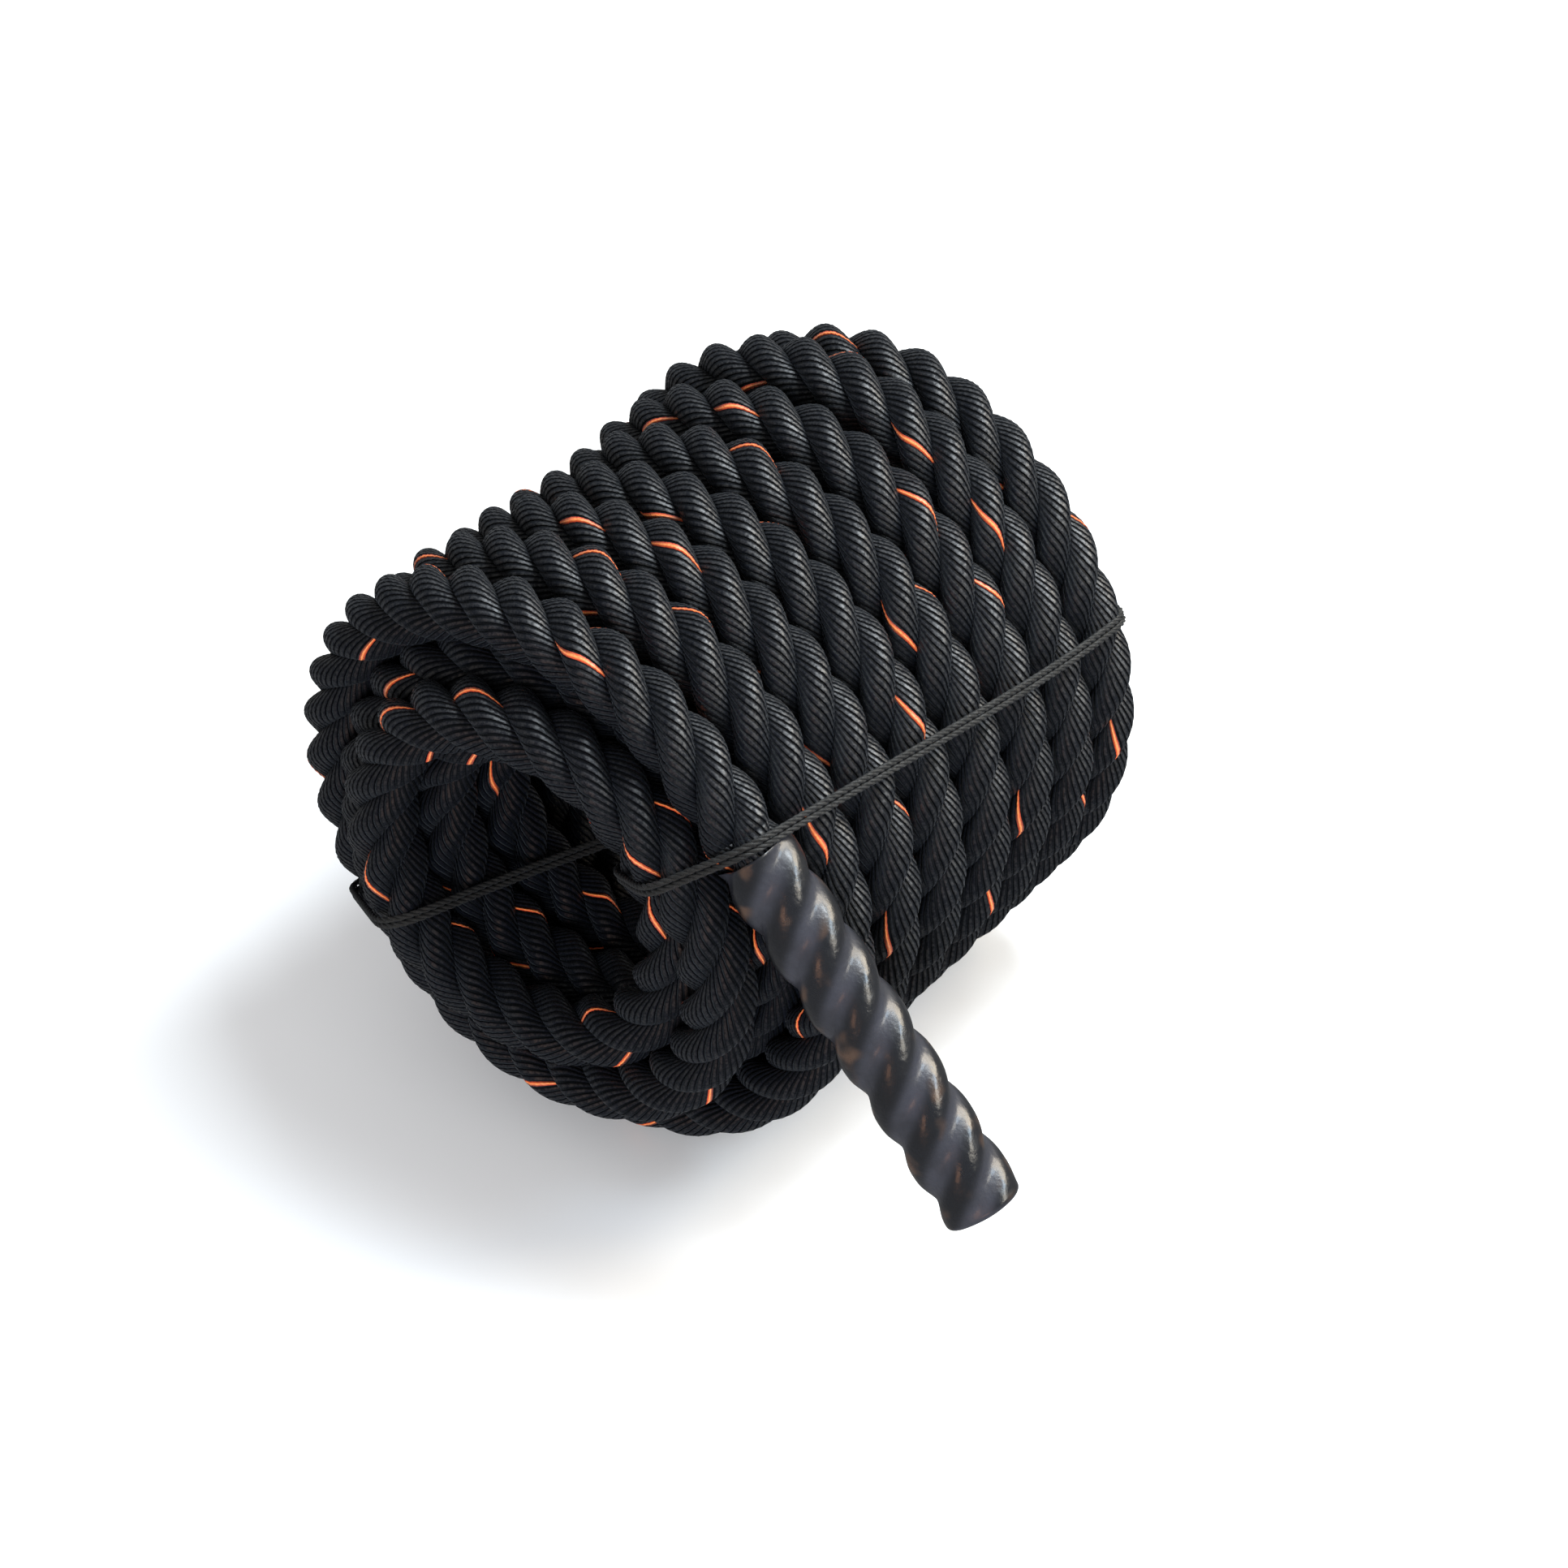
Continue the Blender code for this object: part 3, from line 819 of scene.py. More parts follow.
@dataclass
class LaidRope:
    """Three strands laid together along a line by a Geometry Nodes tree, then cut into pieces."""

    name: str
    line: np.ndarray
    material: Material
    strand_radius: float = 0.0102
    strand_offset: float = 0.0088
    lay_length: float = 0.091
    ring_spacing: float = 0.0037
    half_sweep: float = 114.0
    arc_points: int = 15
    phase: float = 0.0
    strands: int = 3
    seam: float = 0.001
    section_reach: float = 0.75
    crest_reach: float = 0.04

    def mesh(self) -> Mesh:
        """Lays the strands and gives them as one plain mesh."""
        guide = curve_object(self.name + "_guide", self.line)
        sizes = {
            "Strand Radius": self.strand_radius, "Strand Offset": self.strand_offset,
            "Lay Length": self.lay_length, "Ring Spacing": self.ring_spacing,
            "Half Sweep": radians(self.half_sweep), "Phase": self.phase,
        }
        inputs = {"Geometry": "Geometry", **dict.fromkeys(sizes, "Float"), "Material": "Material"}
        name = f"lay_{self.strands}_strands_{self.arc_points}"
        tree = shared_group(name, "GeometryNodeTree", inputs, {"Geometry": "Geometry"}, self.nodes)
        values = {**sizes, "Material": self.material}
        modifier = guide.modifiers.new("lay", "NODES")
        modifier.node_group = tree
        for item in tree.interface.items_tree:
            if item.in_out == "INPUT" and item.name in values:
                modifier[item.identifier] = values[item.name]
        graph = bpy.context.evaluated_depsgraph_get()
        mesh = bpy.data.meshes.new_from_object(guide.evaluated_get(graph), depsgraph=graph)
        guide.modifiers.remove(modifier)
        curve = guide.data
        bpy.data.objects.remove(guide, do_unlink=True)
        bpy.data.curves.remove(curve)
        mesh.name = self.name
        return mesh

    def nodes(self, tree: Tree, inputs: Wires) -> Wires:
        """Makes the nodes of the group that lays the strands.

        Args:
            tree: the group's tree.
            inputs: the group's inputs.

        Returns:
            What goes into its outputs.
        """
        calc = partial(maths, tree)
        spaced = {"Curve": inputs["Geometry"], "Length": inputs["Ring Spacing"]}
        resample = add(tree, "GeometryNodeResampleCurve", spaced, mode="LENGTH")
        along = add(tree, "GeometryNodeSplineParameter").outputs["Length"]
        route = self.capture(tree, "Along", resample.outputs["Curve"], along)
        twist = calc("DIVIDE", route["Along"], inputs["Lay Length"])
        twist = calc("MULTIPLY_ADD", twist, 2 * pi, inputs["Phase"])
        tilt = add(tree, "GeometryNodeSetCurveTilt", {"Curve": route["Geometry"], "Tilt": twist})

        arc = add(tree, "GeometryNodeCurveArc", {
            "Resolution": self.arc_points,
            "Radius": inputs["Strand Radius"],
            "Start Angle": calc("MULTIPLY", inputs["Half Sweep"], -1.0),
            "Sweep Angle": calc("MULTIPLY", inputs["Half Sweep"], 2.0),
        })
        number = add(tree, "GeometryNodeInputIndex").outputs[0]
        side = calc("DIVIDE", number, self.arc_points - 1.0)
        across = calc("MULTIPLY_ADD", side, 1.0 - 2 * self.seam, self.seam)
        section = self.capture(tree, "Across", arc.outputs["Curve"], across)
        looped = {"Geometry": section["Geometry"], "Cyclic": True}
        closed = add(tree, "GeometryNodeSetSplineCyclic", looped).outputs[0]
        shift = add(tree, "ShaderNodeCombineXYZ", {"X": inputs["Strand Offset"]}).outputs[0]
        place = add(tree, "GeometryNodeTransform", {"Geometry": closed, "Translation": shift})

        join = add(tree, "GeometryNodeJoinGeometry")
        for strand in range(self.strands):
            turned = (0.0, 0.0, 2 * pi * strand / self.strands)
            turn = {"Geometry": place.outputs["Geometry"], "Rotation": turned}
            profile = add(tree, "GeometryNodeTransform", turn).outputs["Geometry"]
            swept = {"Curve": tilt.outputs["Curve"], "Profile Curve": profile, "Fill Caps": True}
            sweep = add(tree, "GeometryNodeCurveToMesh", swept).outputs["Mesh"]
            place_across = calc("ADD", section["Across"], float(strand))
            uv = add(tree, "ShaderNodeCombineXYZ", {"X": place_across, "Y": route["Along"]}).outputs[0]
            kept = {"Geometry": sweep, "Name": "lay", "Value": uv}
            store = add(tree, "GeometryNodeStoreNamedAttribute", kept, data_type="FLOAT2", domain="CORNER")
            set_inputs(tree, join, {"Geometry": store.outputs["Geometry"]})
        smooth = add(tree, "GeometryNodeSetShadeSmooth", {"Geometry": join.outputs["Geometry"]})
        realize = add(tree, "GeometryNodeRealizeInstances", {"Geometry": smooth.outputs["Geometry"]})
        dressed = {"Geometry": realize.outputs["Geometry"], "Material": inputs["Material"]}
        return {"Geometry": add(tree, "GeometryNodeSetMaterial", dressed).outputs["Geometry"]}

    def capture(self, tree: Tree, name: str, geometry: Socket, value: Socket) -> Wires:
        """Keeps a number at the points of a geometry.

        Args:
            tree: the group's tree.
            name: the number's name.
            geometry: the geometry.
            value: the number.

        Returns:
            The outputs Geometry and the one with the number's name.
        """
        node = add(tree, "GeometryNodeCaptureAttribute")
        node.capture_items.new("FLOAT", name)
        set_inputs(tree, node, {"Geometry": geometry, name: value})
        return node.outputs

    def cut(self, whole: Mesh, name: str, start: float, end: float) -> Object:
        """Takes the stretch of the rope between two distances along it.

        Args:
            whole: the mesh of the whole rope.
            name: the new piece's name.
            start: metres along the rope where the piece starts.
            end: metres along the rope where it ends.

        Returns:
            The piece, each strand of it closed.
        """
        bm = bmesh.new()
        bm.from_mesh(whole)
        layer = bm.loops.layers.uv["lay"]
        outside = []
        for face in bm.faces:
            middle = sum(loop[layer].uv.y for loop in face.loops) / len(face.loops)
            if not start < middle <= end:
                outside.append(face)
        bmesh.ops.delete(bm, geom=outside, context="FACES")
        open_edges = [edge for edge in bm.edges if edge.is_boundary]
        for face in bmesh.ops.holes_fill(bm, edges=open_edges, sides=0)["faces"]:
            face.smooth = False
        bmesh.ops.recalc_face_normals(bm, faces=bm.faces)
        return mesh_object(ended(bm, name), self.material)

    def crest_angle(self, whole: Mesh, place: float, middle: Vector, side: Vector, up: Vector) -> float:
        """The direction of the first strand's crest in a section of the rope.

        Args:
            whole: the mesh of the whole rope.
            place: metres along the rope.
            middle: the rope's centre there.
            side: the direction that counts as zero.
            up: the direction that counts as a quarter turn.

        Returns:
            The angle in radians.
        """
        count = len(whole.loops)
        uv = np.empty(count * 2, np.float32)
        whole.uv_layers["lay"].data.foreach_get("uv", uv)
        index = np.empty(count, np.int32)
        whole.loops.foreach_get("vertex_index", index)
        points = np.empty(len(whole.vertices) * 3, np.float32)
        whole.vertices.foreach_get("co", points)
        uv, points = uv.reshape(-1, 2), points.reshape(-1, 3)[index]
        in_section = np.abs(uv[:, 1] - place) < self.ring_spacing * self.section_reach
        on_crest = np.abs(uv[:, 0] - 0.5) < self.crest_reach
        offset = points[in_section & on_crest].mean(axis=0) - np.array(middle)
        return float(np.arctan2(offset @ np.array(up), offset @ np.array(side)))


@dataclass
class CoilRope:
    """The whole rope of the object and its pieces."""

    route: RopeRoute
    material: Material
    neck_reach: float = 0.023
    neck_depth: float = 0.012
    neck_bend: float = 0.42
    lay_phase: float = 0.552
    outer_cut_turns: float = 0.37
    middle_cut_turns: float = 5.6
    line: np.ndarray = field(init=False)
    rope: LaidRope = field(init=False)
    whole: Mesh = field(init=False)
    total: float = field(init=False)

    def build(self) -> None:
        """Lays the rope, cuts it and gives the end and layer pieces their bodies."""
        self.line = self.route.points()
        self.rope = LaidRope("rope", self.line, self.material, phase=self.lay_phase)
        self.whole = self.rope.mesh()
        self.total = total = line_length(self.line)
        grip = self.route.grip_length - self.route.end_thickness
        neck_start = grip - self.neck_depth
        neck_end = grip + self.neck_reach
        lead, outer, _, middle = self.route.stages()[:4]
        first_layer = grip + self.route.rope_diameter + 2 * pi * lead[1] * (lead[0] + outer[0])
        cut_one = first_layer - 2 * pi * outer[1] * self.outer_cut_turns
        cut_two = first_layer + 2 * pi * middle[1] * self.middle_cut_turns
        cuts = {
            "outer_end_strands": (-1.0, neck_start),
            "outer_neck_strands": (neck_start, neck_end),
            "outer_layer_strands": (neck_end, cut_one),
            "middle_layer_strands": (cut_one, cut_two),
            "inner_layer_strands": (cut_two, total - neck_end),
            "inner_neck_strands": (total - neck_end, total - neck_start),
            "inner_end_strands": (total - neck_start, total + 1.0),
        }
        pieces = {name: self.rope.cut(self.whole, name, *span) for name, span in cuts.items()}
        self.mount_ends(pieces, cuts)
        self.mount_layers(pieces)
        for name, piece in pieces.items():
            LOG.info("%s: %d faces", name, len(piece.data.polygons))

    def stretch(self, start: float, end: float) -> np.ndarray:
        """The points of the centre line between two distances along it."""
        places = distances(self.line)
        return self.line[(places >= start) & (places <= end)]

    def mount_ends(self, pieces: dict[str, Object], cuts: dict[str, tuple[float, float]]) -> None:
        """Puts the rope's ends on the grips and bakes each neck's placement into its mesh.

        Args:
            pieces: the pieces by name.
            cuts: each piece's start and end along the rope.
        """
        for grip in Grip:
            body = grip.value + "_grip"
            end = pieces[grip.value + "_end_strands"]
            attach(end, body)
            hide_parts(grip.value + "_rope_end")
            near = self.stretch(*cuts[grip.value + "_neck_strands"])
            if grip is Grip.OUTER:
                near = near[::-1]
            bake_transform(pieces[grip.value + "_neck_strands"])

    def mount_layers(self, pieces: dict[str, Object]) -> None:
        """Args:
            pieces: the pieces by name.
        """
        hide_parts("wound_rope")
        with_pieces = {
            "outer_layer_strands": [pieces["outer_neck_strands"]],
            "middle_layer_strands": [],
            "inner_layer_strands": [pieces["inner_neck_strands"]],
        }
        for name, joined in with_pieces.items():
            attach(pieces[name], "coil")


# The grips


@dataclass
class GripSleeve:
    """A film sleeve shrunk over a taped rope end, so that the strands show as a twisted relief."""

    grip: Grip
    start: Vector
    direction: Vector
    material: Material
    crest: float
    lead: float
    length: float = 0.192
    wall: float = 0.00105
    crest_radius: float = 0.0207
    groove_depth: float = 0.0034
    groove_width: float = 1.5
    tip_groove_share: float = 0.35
    tip_fade: float = 0.016
    lay_length: float = 0.091
    sides: int = 120
    ring_step: float = 0.0017
    lip: tuple[tuple[float, float], ...] = ((0.0009, 0.8), (0.0003, 0.55), (0.0, 0.3), (0.0004, 0.0))
    first_ring: float = 0.0016
    edge_round: float = 0.0028
    edge_steps: int = 8
    cap: tuple[tuple[float, float], ...] = ((0.0002, 0.0075), (0.0006, 0.0130))
    inside_start: float = 0.0035
    inside_end: float = 0.004
    tape_width: float = 0.036
    tape_end: float = 0.012
    tape_gap: float = 0.0001
    tape_thickness: float = 0.0005
    tape_rings: int = 20

    def share(self, angle: float, place: float) -> float:
        """The share of the way from groove to crest, in a direction and at a place along the sleeve."""
        strand = (angle - self.crest - 2 * pi * place / self.lay_length) * 3
        return 1.0 - (0.5 - 0.5 * cos(strand)) ** self.groove_width

    def ring(self, bm: BMesh, place: float, inset: float, stretch: object | None = None) -> list[BMVert]:
        """One ring of vertices round the sleeve.

        Args:
            bm: the mesh in the making.
            place: metres from the sleeve's start.
            inset: how far the ring stands in from the film's outside.
            stretch: the vertex layer that holds the share.

        Returns:
            The ring's vertices.
        """
        side = self.direction.orthogonal().normalized()
        up = self.direction.cross(side)
        left = max(0.0, self.length - place)
        depth = self.groove_depth * min(1.0, self.tip_groove_share + left / self.tip_fade)
        row = []
        for number in range(self.sides):
            angle = 2 * pi * number / self.sides
            share = self.share(angle, place)
            radius = self.crest_radius - depth * (1.0 - share) - inset
            at = self.start + self.direction * place + (side * cos(angle) + up * sin(angle)) * radius
            vertex = bm.verts.new(at)
            if stretch is not None:
                vertex[stretch] = share * min(1.0, left / self.edge_round)
            row.append(vertex)
        return row

    def shell(self, bm: BMesh, rows: list[list[BMVert]], looped: bool) -> None:
        """Joins rings by faces.

        Args:
            bm: the mesh in the making.
            rows: the rings in order.
            looped: whether the last ring joins the first, and otherwise both get a cap.
        """
        pairs = list(zip(rows, rows[1:]))
        if looped:
            pairs.append((rows[-1], rows[0]))
        for lower, upper in pairs:
            for number in range(self.sides):
                after = (number + 1) % self.sides
                bm.faces.new((lower[number], lower[after], upper[after], upper[number]))
        if not looped:
            bm.faces.new(rows[0])
            bm.faces.new(rows[-1])
        bmesh.ops.recalc_face_normals(bm, faces=bm.faces)
        for face in bm.faces:
            face.smooth = True

    def build(self) -> None:
        """Builds the sleeve as one closed shell and puts it on its grip."""
        bm = bmesh.new()
        stretch = bm.verts.layers.float.new("stretch")
        last = self.length - self.edge_round
        outside = np.arange(self.first_ring - self.lead, last, self.ring_step)
        sections = [(place - self.lead, self.wall * inset) for place, inset in self.lip]
        sections += [(place, 0.0) for place in outside.tolist()]
        for step in range(self.edge_steps + 1):
            turn = pi / 2 * step / self.edge_steps
            sections.append((last + self.edge_round * sin(turn), self.edge_round * (1 - cos(turn))))
        sections += [(self.length - back, inset) for back, inset in self.cap]
        end = self.length - self.inside_end
        inside = np.arange(self.inside_start - self.lead, end, 2 * self.ring_step)
        sections = [(place, self.wall) for place in reversed(inside.tolist())] + sections
        rows = [self.ring(bm, place, inset, stretch) for place, inset in sections]
        self.shell(bm, rows, False)
        self.mount(bm, "_sleeve_film", self.material, "_grip_sleeve", "sleeve")

    def build_tape(self, material: Material) -> None:
        """Builds the binding tape round the rope's end, which the sleeve hides.

        Args:
            material: the tape's material.
        """
        bm = bmesh.new()
        end = self.length - self.tape_end
        places = np.linspace(end - self.tape_width, end, self.tape_rings).tolist()
        outside = self.wall + self.tape_gap
        rows = [self.ring(bm, place, outside) for place in places]
        rows += [self.ring(bm, place, outside + self.tape_thickness) for place in reversed(places)]
        self.shell(bm, rows, True)
        self.mount(bm, "_tape_band", material, "_end_tape", "tape")

    def mount(self, bm: BMesh, suffix: str, material: Material, node: str, slot: str) -> None:
        """Turns a mesh in the making into a piece on the grip, in place of one of its nodes."""
        name = self.grip.value
        fitted(ended(bm, name + suffix), material, name + "_grip", name + node)


# The ties


TIE_BENDS = {
    Tie.RIGHT: [
        (0.1327, 0.1488, 0.0536), (0.1426, 0.1505, 0.0576), (0.1521, 0.1471, 0.0614),
        (0.1589, 0.1391, 0.0642), (0.1615, 0.1287, 0.0652), (0.1428, -0.1437, 0.1037),
        (0.1415, -0.1521, 0.1028), (0.1377, -0.1593, 0.1000), (0.1320, -0.1642, 0.0959),
        (0.1026, -0.1798, 0.0746), (0.0948, -0.1816, 0.0689), (0.0872, -0.1791, 0.0633),
        (0.0597, -0.1612, 0.0434), (0.0547, -0.1563, 0.0397), (0.0513, -0.1495, 0.0373),
        (0.0502, -0.1416, 0.0365), (0.0502, -0.1028, 0.0365), (0.0504, -0.0994, 0.0366),
        (0.0833, 0.1170, 0.0481), (0.0904, 0.1271, 0.0441), (0.1012, 0.1339, 0.0409),
    ],
    Tie.LEFT: [
        (-0.0904, 0.1326, -0.1341), (-0.0941, 0.1277, -0.1395), (-0.0965, 0.1208, -0.1431),
        (-0.0974, 0.1127, -0.1444), (-0.1523, -0.1232, -0.0844), (-0.1511, -0.1308, -0.0838),
        (-0.1477, -0.1375, -0.0819), (-0.1425, -0.1425, -0.0790), (-0.0855, -0.1795, -0.0474),
        (-0.0762, -0.1824, -0.0422), (-0.0668, -0.1798, -0.0370), (-0.0597, -0.1723, -0.0331),
        (-0.0566, -0.1618, -0.0314), (-0.0034, 0.1329, -0.0962), (-0.0174, 0.1424, -0.0986),
        (-0.0334, 0.1490, -0.1026), (-0.0517, 0.1515, -0.1059), (-0.0715, 0.1492, -0.1060),
    ],
}

# A knot's points: along it in shares of half its length, across it in metres, and out from the coil
# in shares of the cord's diameter.
KNOT_LOOP = (
    (-0.62, 0.0018, 0.95), (-0.30, 0.0021, 0.60), (0.0, 0.0026, 0.05), (0.35, 0.0032, 0.45),
    (0.60, 0.0024, 0.95), (0.68, 0.0, 1.0),
)
KNOT_TAIL = ((0.10, 0.0030, 0.20), (0.50, 0.0062, 0.0), (0.70, 0.0100, -0.10), (0.75, 0.0145, -0.25))


@dataclass
class TieCord:
    """A thin laid cord that goes twice round the wall of the coil and is knotted at the back."""

    tie: Tie
    bends: list[Triple]
    rope: RopeRoute
    coil_line: np.ndarray
    material: Material
    diameter: float = 0.0035
    spacing: float = 0.0034
    outer_radius: float = 0.152
    middle_radius: float = 0.11809
    middle_y: float = -0.014
    knot_half: float = 0.0073
    knot_level: float = 0.9
    line_step: float = 0.006
    bite: float = 0.0012
    rounds: int = 260
    strand_radius: float = 0.00098
    strand_offset: float = 0.00078
    lay_length: float = 0.0135
    half_sweep: float = 120.0
    arc_points: int = 7

    def wall_outward(self, point: Vector) -> Vector:
        """The direction away from the middle of the coil's wall."""
        out = Vector((point.x, 0.0, point.z))
        share = out.length - self.middle_radius
        return (out.normalized() * share + Vector((0.0, point.y - self.middle_y, 0.0)) / 2).normalized()

    def route(self) -> list[Vector]:
        """The tie's middle line in the coil's frame, from one side of the knot round to the other.

        Returns:
            The line's points.
        """
        bends = [Vector(point) for point in self.bends]
        knot = (bends[0] + bends[-1]) / 2
        along = (bends[0] - bends[-1]).normalized()
        corners = [knot + along * self.knot_half] + bends + [knot - along * self.knot_half]
        line = [corners[0]]
        for before, after in zip(corners, corners[1:]):
            parts = max(1, ceil((after - before).length / self.line_step))
            radii = [hypot(point.x, point.z) for point in (before, after)]
            for part in range(1, parts + 1):
                point = before.lerp(after, part / parts)
                if min(radii) > self.outer_radius:
                    radius = radii[0] + (radii[1] - radii[0]) * part / parts
                    flat = Vector((point.x, 0.0, point.z)).normalized() * radius
                    point = flat + Vector((0.0, point.y, 0.0))
                line.append(point)
        return self.pulled_tight(self.rope.uneven(np.array(line)))

    def pulled_tight(self, line: np.ndarray) -> list[Vector]:
        """The line drawn in until it bites a little into the rope that it goes round.

        Args:
            line: a loose line round the wall of the coil.

        Returns:
            The tight line.
        """
        rope = KDTree(len(self.coil_line))
        for number, point in enumerate(self.coil_line - (0.0, 0.0, self.rope.axis_height)):
            rope.insert(Vector(point), number)
        rope.balance()
        reach = (self.rope.rope_diameter + self.diameter) / 2 - self.bite
        for _ in range(self.rounds):
            line = line / 2 + (np.roll(line, 1, axis=0) + np.roll(line, -1, axis=0)) / 4
            for number, point in enumerate(line):
                near, _, distance = rope.find(Vector(point))
                if distance < reach:
                    line[number] = near + (Vector(point) - near) * (reach / distance)
        return [Vector(point) for point in line]

    def cord(
        self, name: str, points: list[Vector], step: float, reach: int, rings: float,
    ) -> tuple[Mesh, np.ndarray]:
        """Lays a thin cord along some points.

        Args:
            name: the mesh's name.
            points: points in the coil's frame.
            step: the spacing of the points that it is softened on.
            reach: how many of them each soft corner takes.
            rings: the spacing of its rings.

        Returns:
            The mesh and the cord's centre line.
        """
        line = np.array(points) + (0.0, 0.0, self.rope.axis_height)
        line = softened(resampled(line, step), reach)
        laid = LaidRope(
            name, line, self.material, strand_radius=self.strand_radius, strand_offset=self.strand_offset,
            lay_length=self.lay_length, ring_spacing=rings, half_sweep=self.half_sweep,
            arc_points=self.arc_points,
        )
        return laid.mesh(), line

    def build(self) -> None:
        """Builds the two strands of the tie and its knot."""
        line = self.route()
        for number, side in enumerate((-1.0, 1.0), 1):
            strand = []
            for index, point in enumerate(line):
                before, after = line[max(0, index - 1)], line[min(len(line) - 1, index + 1)]
                beside = (after - before).cross(self.wall_outward(point)).normalized()
                strand.append(point + beside * side * self.spacing / 2)
            name = f"{self.tie.value}_tie_strand_{number}"
            mesh, path = self.cord(name, strand, step=0.003, reach=4, rings=0.0013)
            piece = self.mount(mesh, f"{self.tie.value}_tie_cord_{number}")
        self.build_knot(line)

    def build_knot(self, line: list[Vector]) -> None:
        """Builds the square knot that both strands end in, with its two short tails.

        Args:
            line: the tie's middle line.
        """
        middle = (line[0] + line[-1]) / 2
        along = (line[0] - line[-1]).normalized()
        out = self.wall_outward(middle)
        out = (out - along * out.dot(along)).normalized()
        across = out.cross(along)
        half, high = self.knot_half, self.diameter
        level = self.knot_level * half
        loop = [(-half, self.spacing / 2, 0.0)]
        loop += [(way * half, side, rise * high) for way, side, rise in KNOT_LOOP]
        loop += [(way, -side, rise) for way, side, rise in reversed(loop[:-1])]
        other = [(-way, side, high - rise if abs(way) < level else rise) for way, side, rise in loop]
        tail = [(way * half, side, rise * high) for way, side, rise in KNOT_TAIL]
        turned = [(-way, -side, rise) for way, side, rise in tail]
        whole = bmesh.new()
        for number, places in enumerate((loop, other, tail, turned), 1):
            points = [middle + along * way + across * side + out * rise for way, side, rise in places]
            name = f"{self.tie.value}_knot_part_{number}"
            mesh, _ = self.cord(name, points, step=0.0007, reach=2, rings=0.0008)
            whole.from_mesh(mesh)
            bpy.data.meshes.remove(mesh)
        self.mount(ended(whole, f"{self.tie.value}_tie_bound_knot"), f"{self.tie.value}_tie_knot")

    def mount(self, mesh: Mesh, node: str) -> Object:
        """Puts a mesh on the coil in place of a node."""
        return fitted(mesh, self.material, "coil", node)


# The studio


@dataclass(frozen=True)
class Lamp:
    """A square soft lamp that is turned to the middle of the coil."""

    name: str
    location: Triple
    size: float
    power: float
    colour: Triple
    diffuse: bool = True
    glossy: bool = True
    target: Triple = (0.0, 0.0, 0.15)

    def place(self) -> None:
        """Puts the lamp in the scene."""
        data = bpy.data.lights.new(self.name, "AREA")
        data.shape = "SQUARE"
        data.size = self.size
        data.energy = self.power
        data.color = self.colour
        lamp = linked(self.name, data)
        lamp.location = self.location
        lamp.rotation_euler = (Vector(self.target) - lamp.location).to_track_quat("-Z", "Y").to_euler()
        lamp.visible_diffuse = self.diffuse
        lamp.visible_glossy = self.glossy


@dataclass
class Studio:
    """A pale floor, soft lamps and the camera."""

    aim: Triple = (0.0377, 0.0037, 0.1484)
    azimuth: float = 36.55
    elevation: float = 39.40
    roll: float = 0.476
    distance: float = 1.8205
    lens: float = 80.18
    sensor_width: float = 36.0
    clip_start: float = 0.05
    floor_size: float = 6.0
    floor_tone: float = 0.88
    sky_light: float = 0.18
    sky_diffuse_light: float = 0.40

    def place_camera(self) -> None:
        """Makes the camera at the photograph's viewing angle."""
        turn, rise = radians(self.azimuth), radians(self.elevation)
        back = Vector((sin(turn) * cos(rise), -cos(turn) * cos(rise), sin(rise)))
        right = Vector((cos(turn), sin(turn), 0.0))
        up = back.cross(right)
        tilt = Matrix.Rotation(radians(self.roll), 3, back)
        right, up = tilt @ right, tilt @ up
        camera = linked("camera", bpy.data.cameras.new("camera"))
        camera.data.lens = self.lens
        camera.data.sensor_width = self.sensor_width
        camera.data.sensor_fit = "AUTO"
        camera.data.clip_start = self.clip_start
        basis = Matrix((right, up, back)).transposed().to_4x4()
        basis.translation = Vector(self.aim) + back * self.distance
        camera.matrix_world = basis
        bpy.context.scene.camera = camera

    def place_floor(self) -> None:
        """Makes the pale floor, which looks white to the camera and keeps the shadow."""
        bm = bmesh.new()
        bmesh.ops.create_grid(bm, x_segments=1, y_segments=1, size=self.floor_size)
        tone = (self.floor_tone,) * 3
        material, shader = new_material("pale_floor", tone)
        values = {"Base Color": (*tone, 1.0), "Roughness": 0.9, "Specular IOR Level": 0.1}
        set_inputs(material.node_tree, shader, values)
        floor = mesh_object(ended(bm, "floor"), material)
        floor.visible_glossy = False

    def place_lamps(self) -> None:
        """Makes the soft lamps and the white surroundings."""
        lamps = (
            Lamp("key_lamp", (1.20, 1.55, 1.90), 1.1, 44.0, (1.0, 0.88, 0.70)),
            Lamp("cool_lamp", (1.60, 0.75, 1.80), 0.6, 14.0, (0.60, 0.80, 1.0)),
            Lamp("top_lamp", (0.45, 0.60, 2.2), 0.8, 50.0, (0.86, 0.94, 1.0)),
            Lamp("fill_lamp", (1.3, -1.9, 0.8), 0.8, 48.0, (0.95, 0.96, 1.0), glossy=False),
            Lamp("sheen_lamp", (1.80, 0.35, 1.30), 0.6, 9.0, (1.0, 0.93, 0.80), diffuse=False),
            Lamp("glow_lamp", (0.8, -2.1, 0.8), 0.7, 3.6, (1.0, 0.50, 0.28), diffuse=False),
        )
        for lamp in lamps:
            lamp.place()
        world = bpy.data.worlds.new("studio")
        bpy.context.scene.world = world
        world.use_nodes = True
        tree = world.node_tree
        ray = add(tree, "ShaderNodeLightPath").outputs
        soft = maths(tree, "MULTIPLY_ADD", ray["Is Diffuse Ray"], self.sky_diffuse_light, self.sky_light)
        strength = maths(tree, "MAXIMUM", ray["Is Camera Ray"], soft)
        set_inputs(tree, tree.nodes["Background"], {"Strength": strength, "Color": (1.0, 1.0, 1.0, 1.0)})


# The object


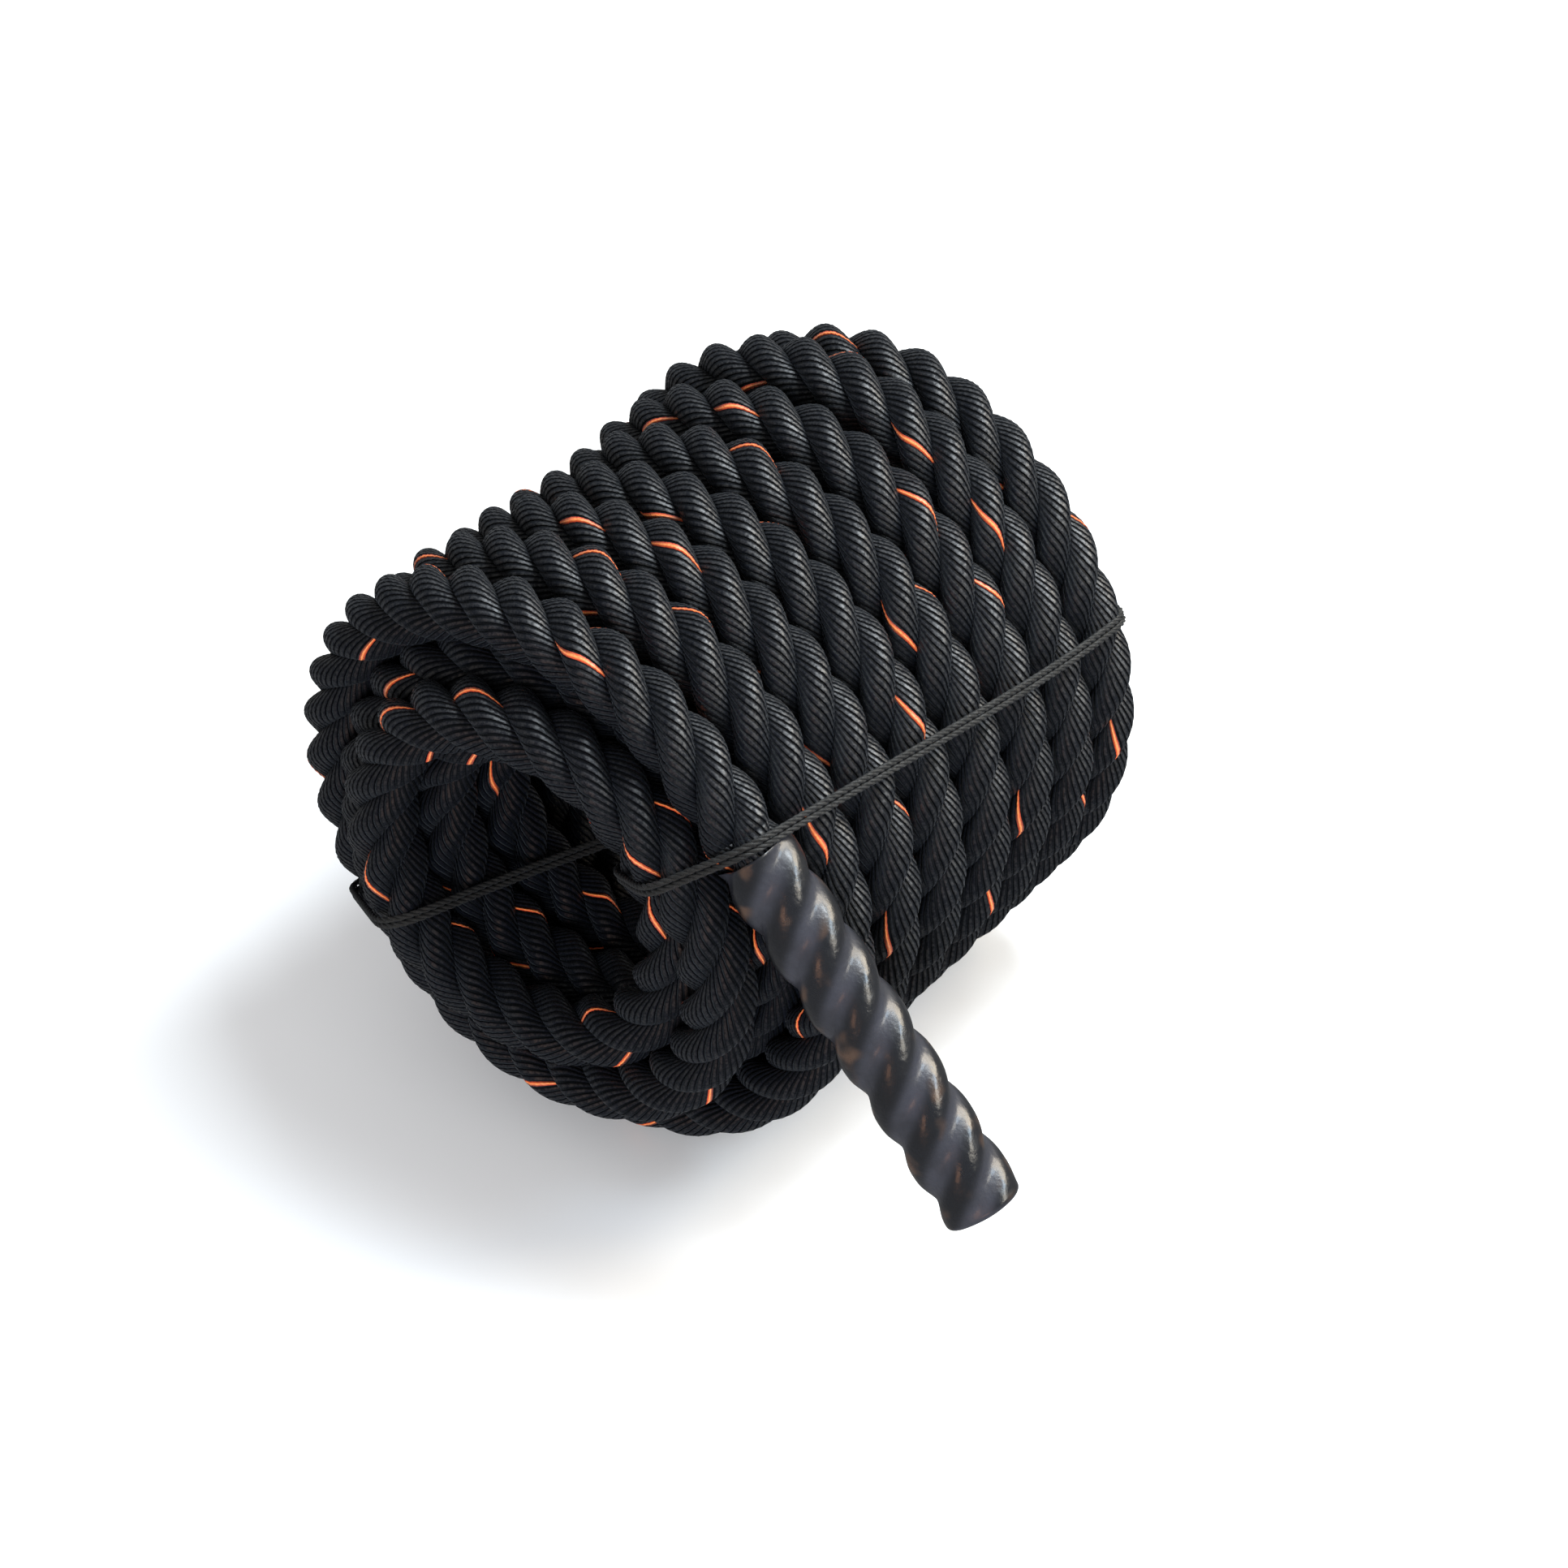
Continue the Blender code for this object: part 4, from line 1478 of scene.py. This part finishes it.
@dataclass
class TrainingRope:
    """The tied coil with both grips."""

    rope_finish: LaidFinish
    sleeve_finish: ShrinkFinish
    tape_finish: TapeFinish
    cord_finish: LaidFinish
    outer_lead: float = 0.0115
    inner_lead: float = 0.0080

    def build(self) -> None:
        """Builds every piece in order and puts each on its body, the rope's two neck pieces apart."""
        route = RopeRoute()
        coil = CoilRope(route, self.rope_finish.material())
        coil.build()
        tape = self.tape_finish.material()
        film = self.sleeve_finish.material()
        for grip in Grip:
            sleeve = self.sleeve(coil, grip, film)
            sleeve.build()
            sleeve.build_tape(tape)
        cord_material = self.cord_finish.material()
        for tie, bends in TIE_BENDS.items():
            TieCord(tie, bends, route, coil.line, cord_material).build()

    def sleeve(self, coil: CoilRope, grip: Grip, film: Material) -> GripSleeve:
        """The sleeve of a grip, turned so that its relief lies over the strands.

        Args:
            coil: the finished rope.
            grip: the end of the rope that it is for.
            film: the film's material.

        Returns:
            The sleeve, not built yet.
        """
        length = coil.route.grip_length - coil.route.end_thickness
        if grip is Grip.OUTER:
            place, tip, lead = length, 0.0, self.outer_lead
            near = coil.stretch(tip, place)[::-1]
        else:
            place, tip, lead = coil.total - length, coil.total, self.inner_lead
            near = coil.stretch(place, tip)
        direction = Vector(near[-1] - near[0]).normalized()
        start = Vector(near[0]) - direction * (length - line_length(near))
        side = direction.orthogonal().normalized()
        crest = coil.rope.crest_angle(coil.whole, place, start, side, direction.cross(side))
        return GripSleeve(grip, start, direction, film, crest, lead)


def main() -> None:
    """Builds the studio and the object."""
    logging.basicConfig(level=logging.INFO, format="%(name)s: %(message)s")
    bpy.context.scene.view_settings.view_transform = "Standard"
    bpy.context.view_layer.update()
    studio = Studio()
    studio.place_camera()
    studio.place_floor()
    studio.place_lamps()
    rope = TrainingRope(
        rope_finish=LaidFinish(
            # The gap colour is painted shade in the grooves between yarns.
            "black_laid_yarn", yarn=(0.0026, 0.0037, 0.0066), gap_shade=(0.0004, 0.0005, 0.0007),
            tracer=(1.0, 0.30, 0.08), tracer_yarns=0.80, yarns=23.0, crowding=0.29, yarn_pitch=0.0546,
            sweep=2 * radians(114.0), relief=0.0022, roughness=0.53, tracer_place=0.1465, second_tracer=0.36,
        ),
        sleeve_finish=ShrinkFinish(
            "slate_shrink_film", film=(0.030, 0.0315, 0.042), stretched=(0.0035, 0.0042, 0.0055),
            # The warm colour is painted reflection on the film's crests.
            warm_reflection=(0.060, 0.034, 0.022), roughness=0.31,
        ),
        tape_finish=TapeFinish("binding_tape", colour=(0.010, 0.010, 0.011)),
        cord_finish=LaidFinish(
            # The gap colour is painted shade in the grooves between yarns.
            "dark_tie_cord", yarn=(0.0180, 0.0178, 0.0170), gap_shade=(0.006, 0.006, 0.006),
            tracer=(0.03, 0.03, 0.03), tracer_yarns=0.0, yarns=14.0, crowding=0.2, yarn_pitch=0.0081,
            sweep=2 * radians(120.0), relief=0.0001, roughness=0.7,
        ),
    )
    rope.build()


if __name__ == "__main__":
    main()
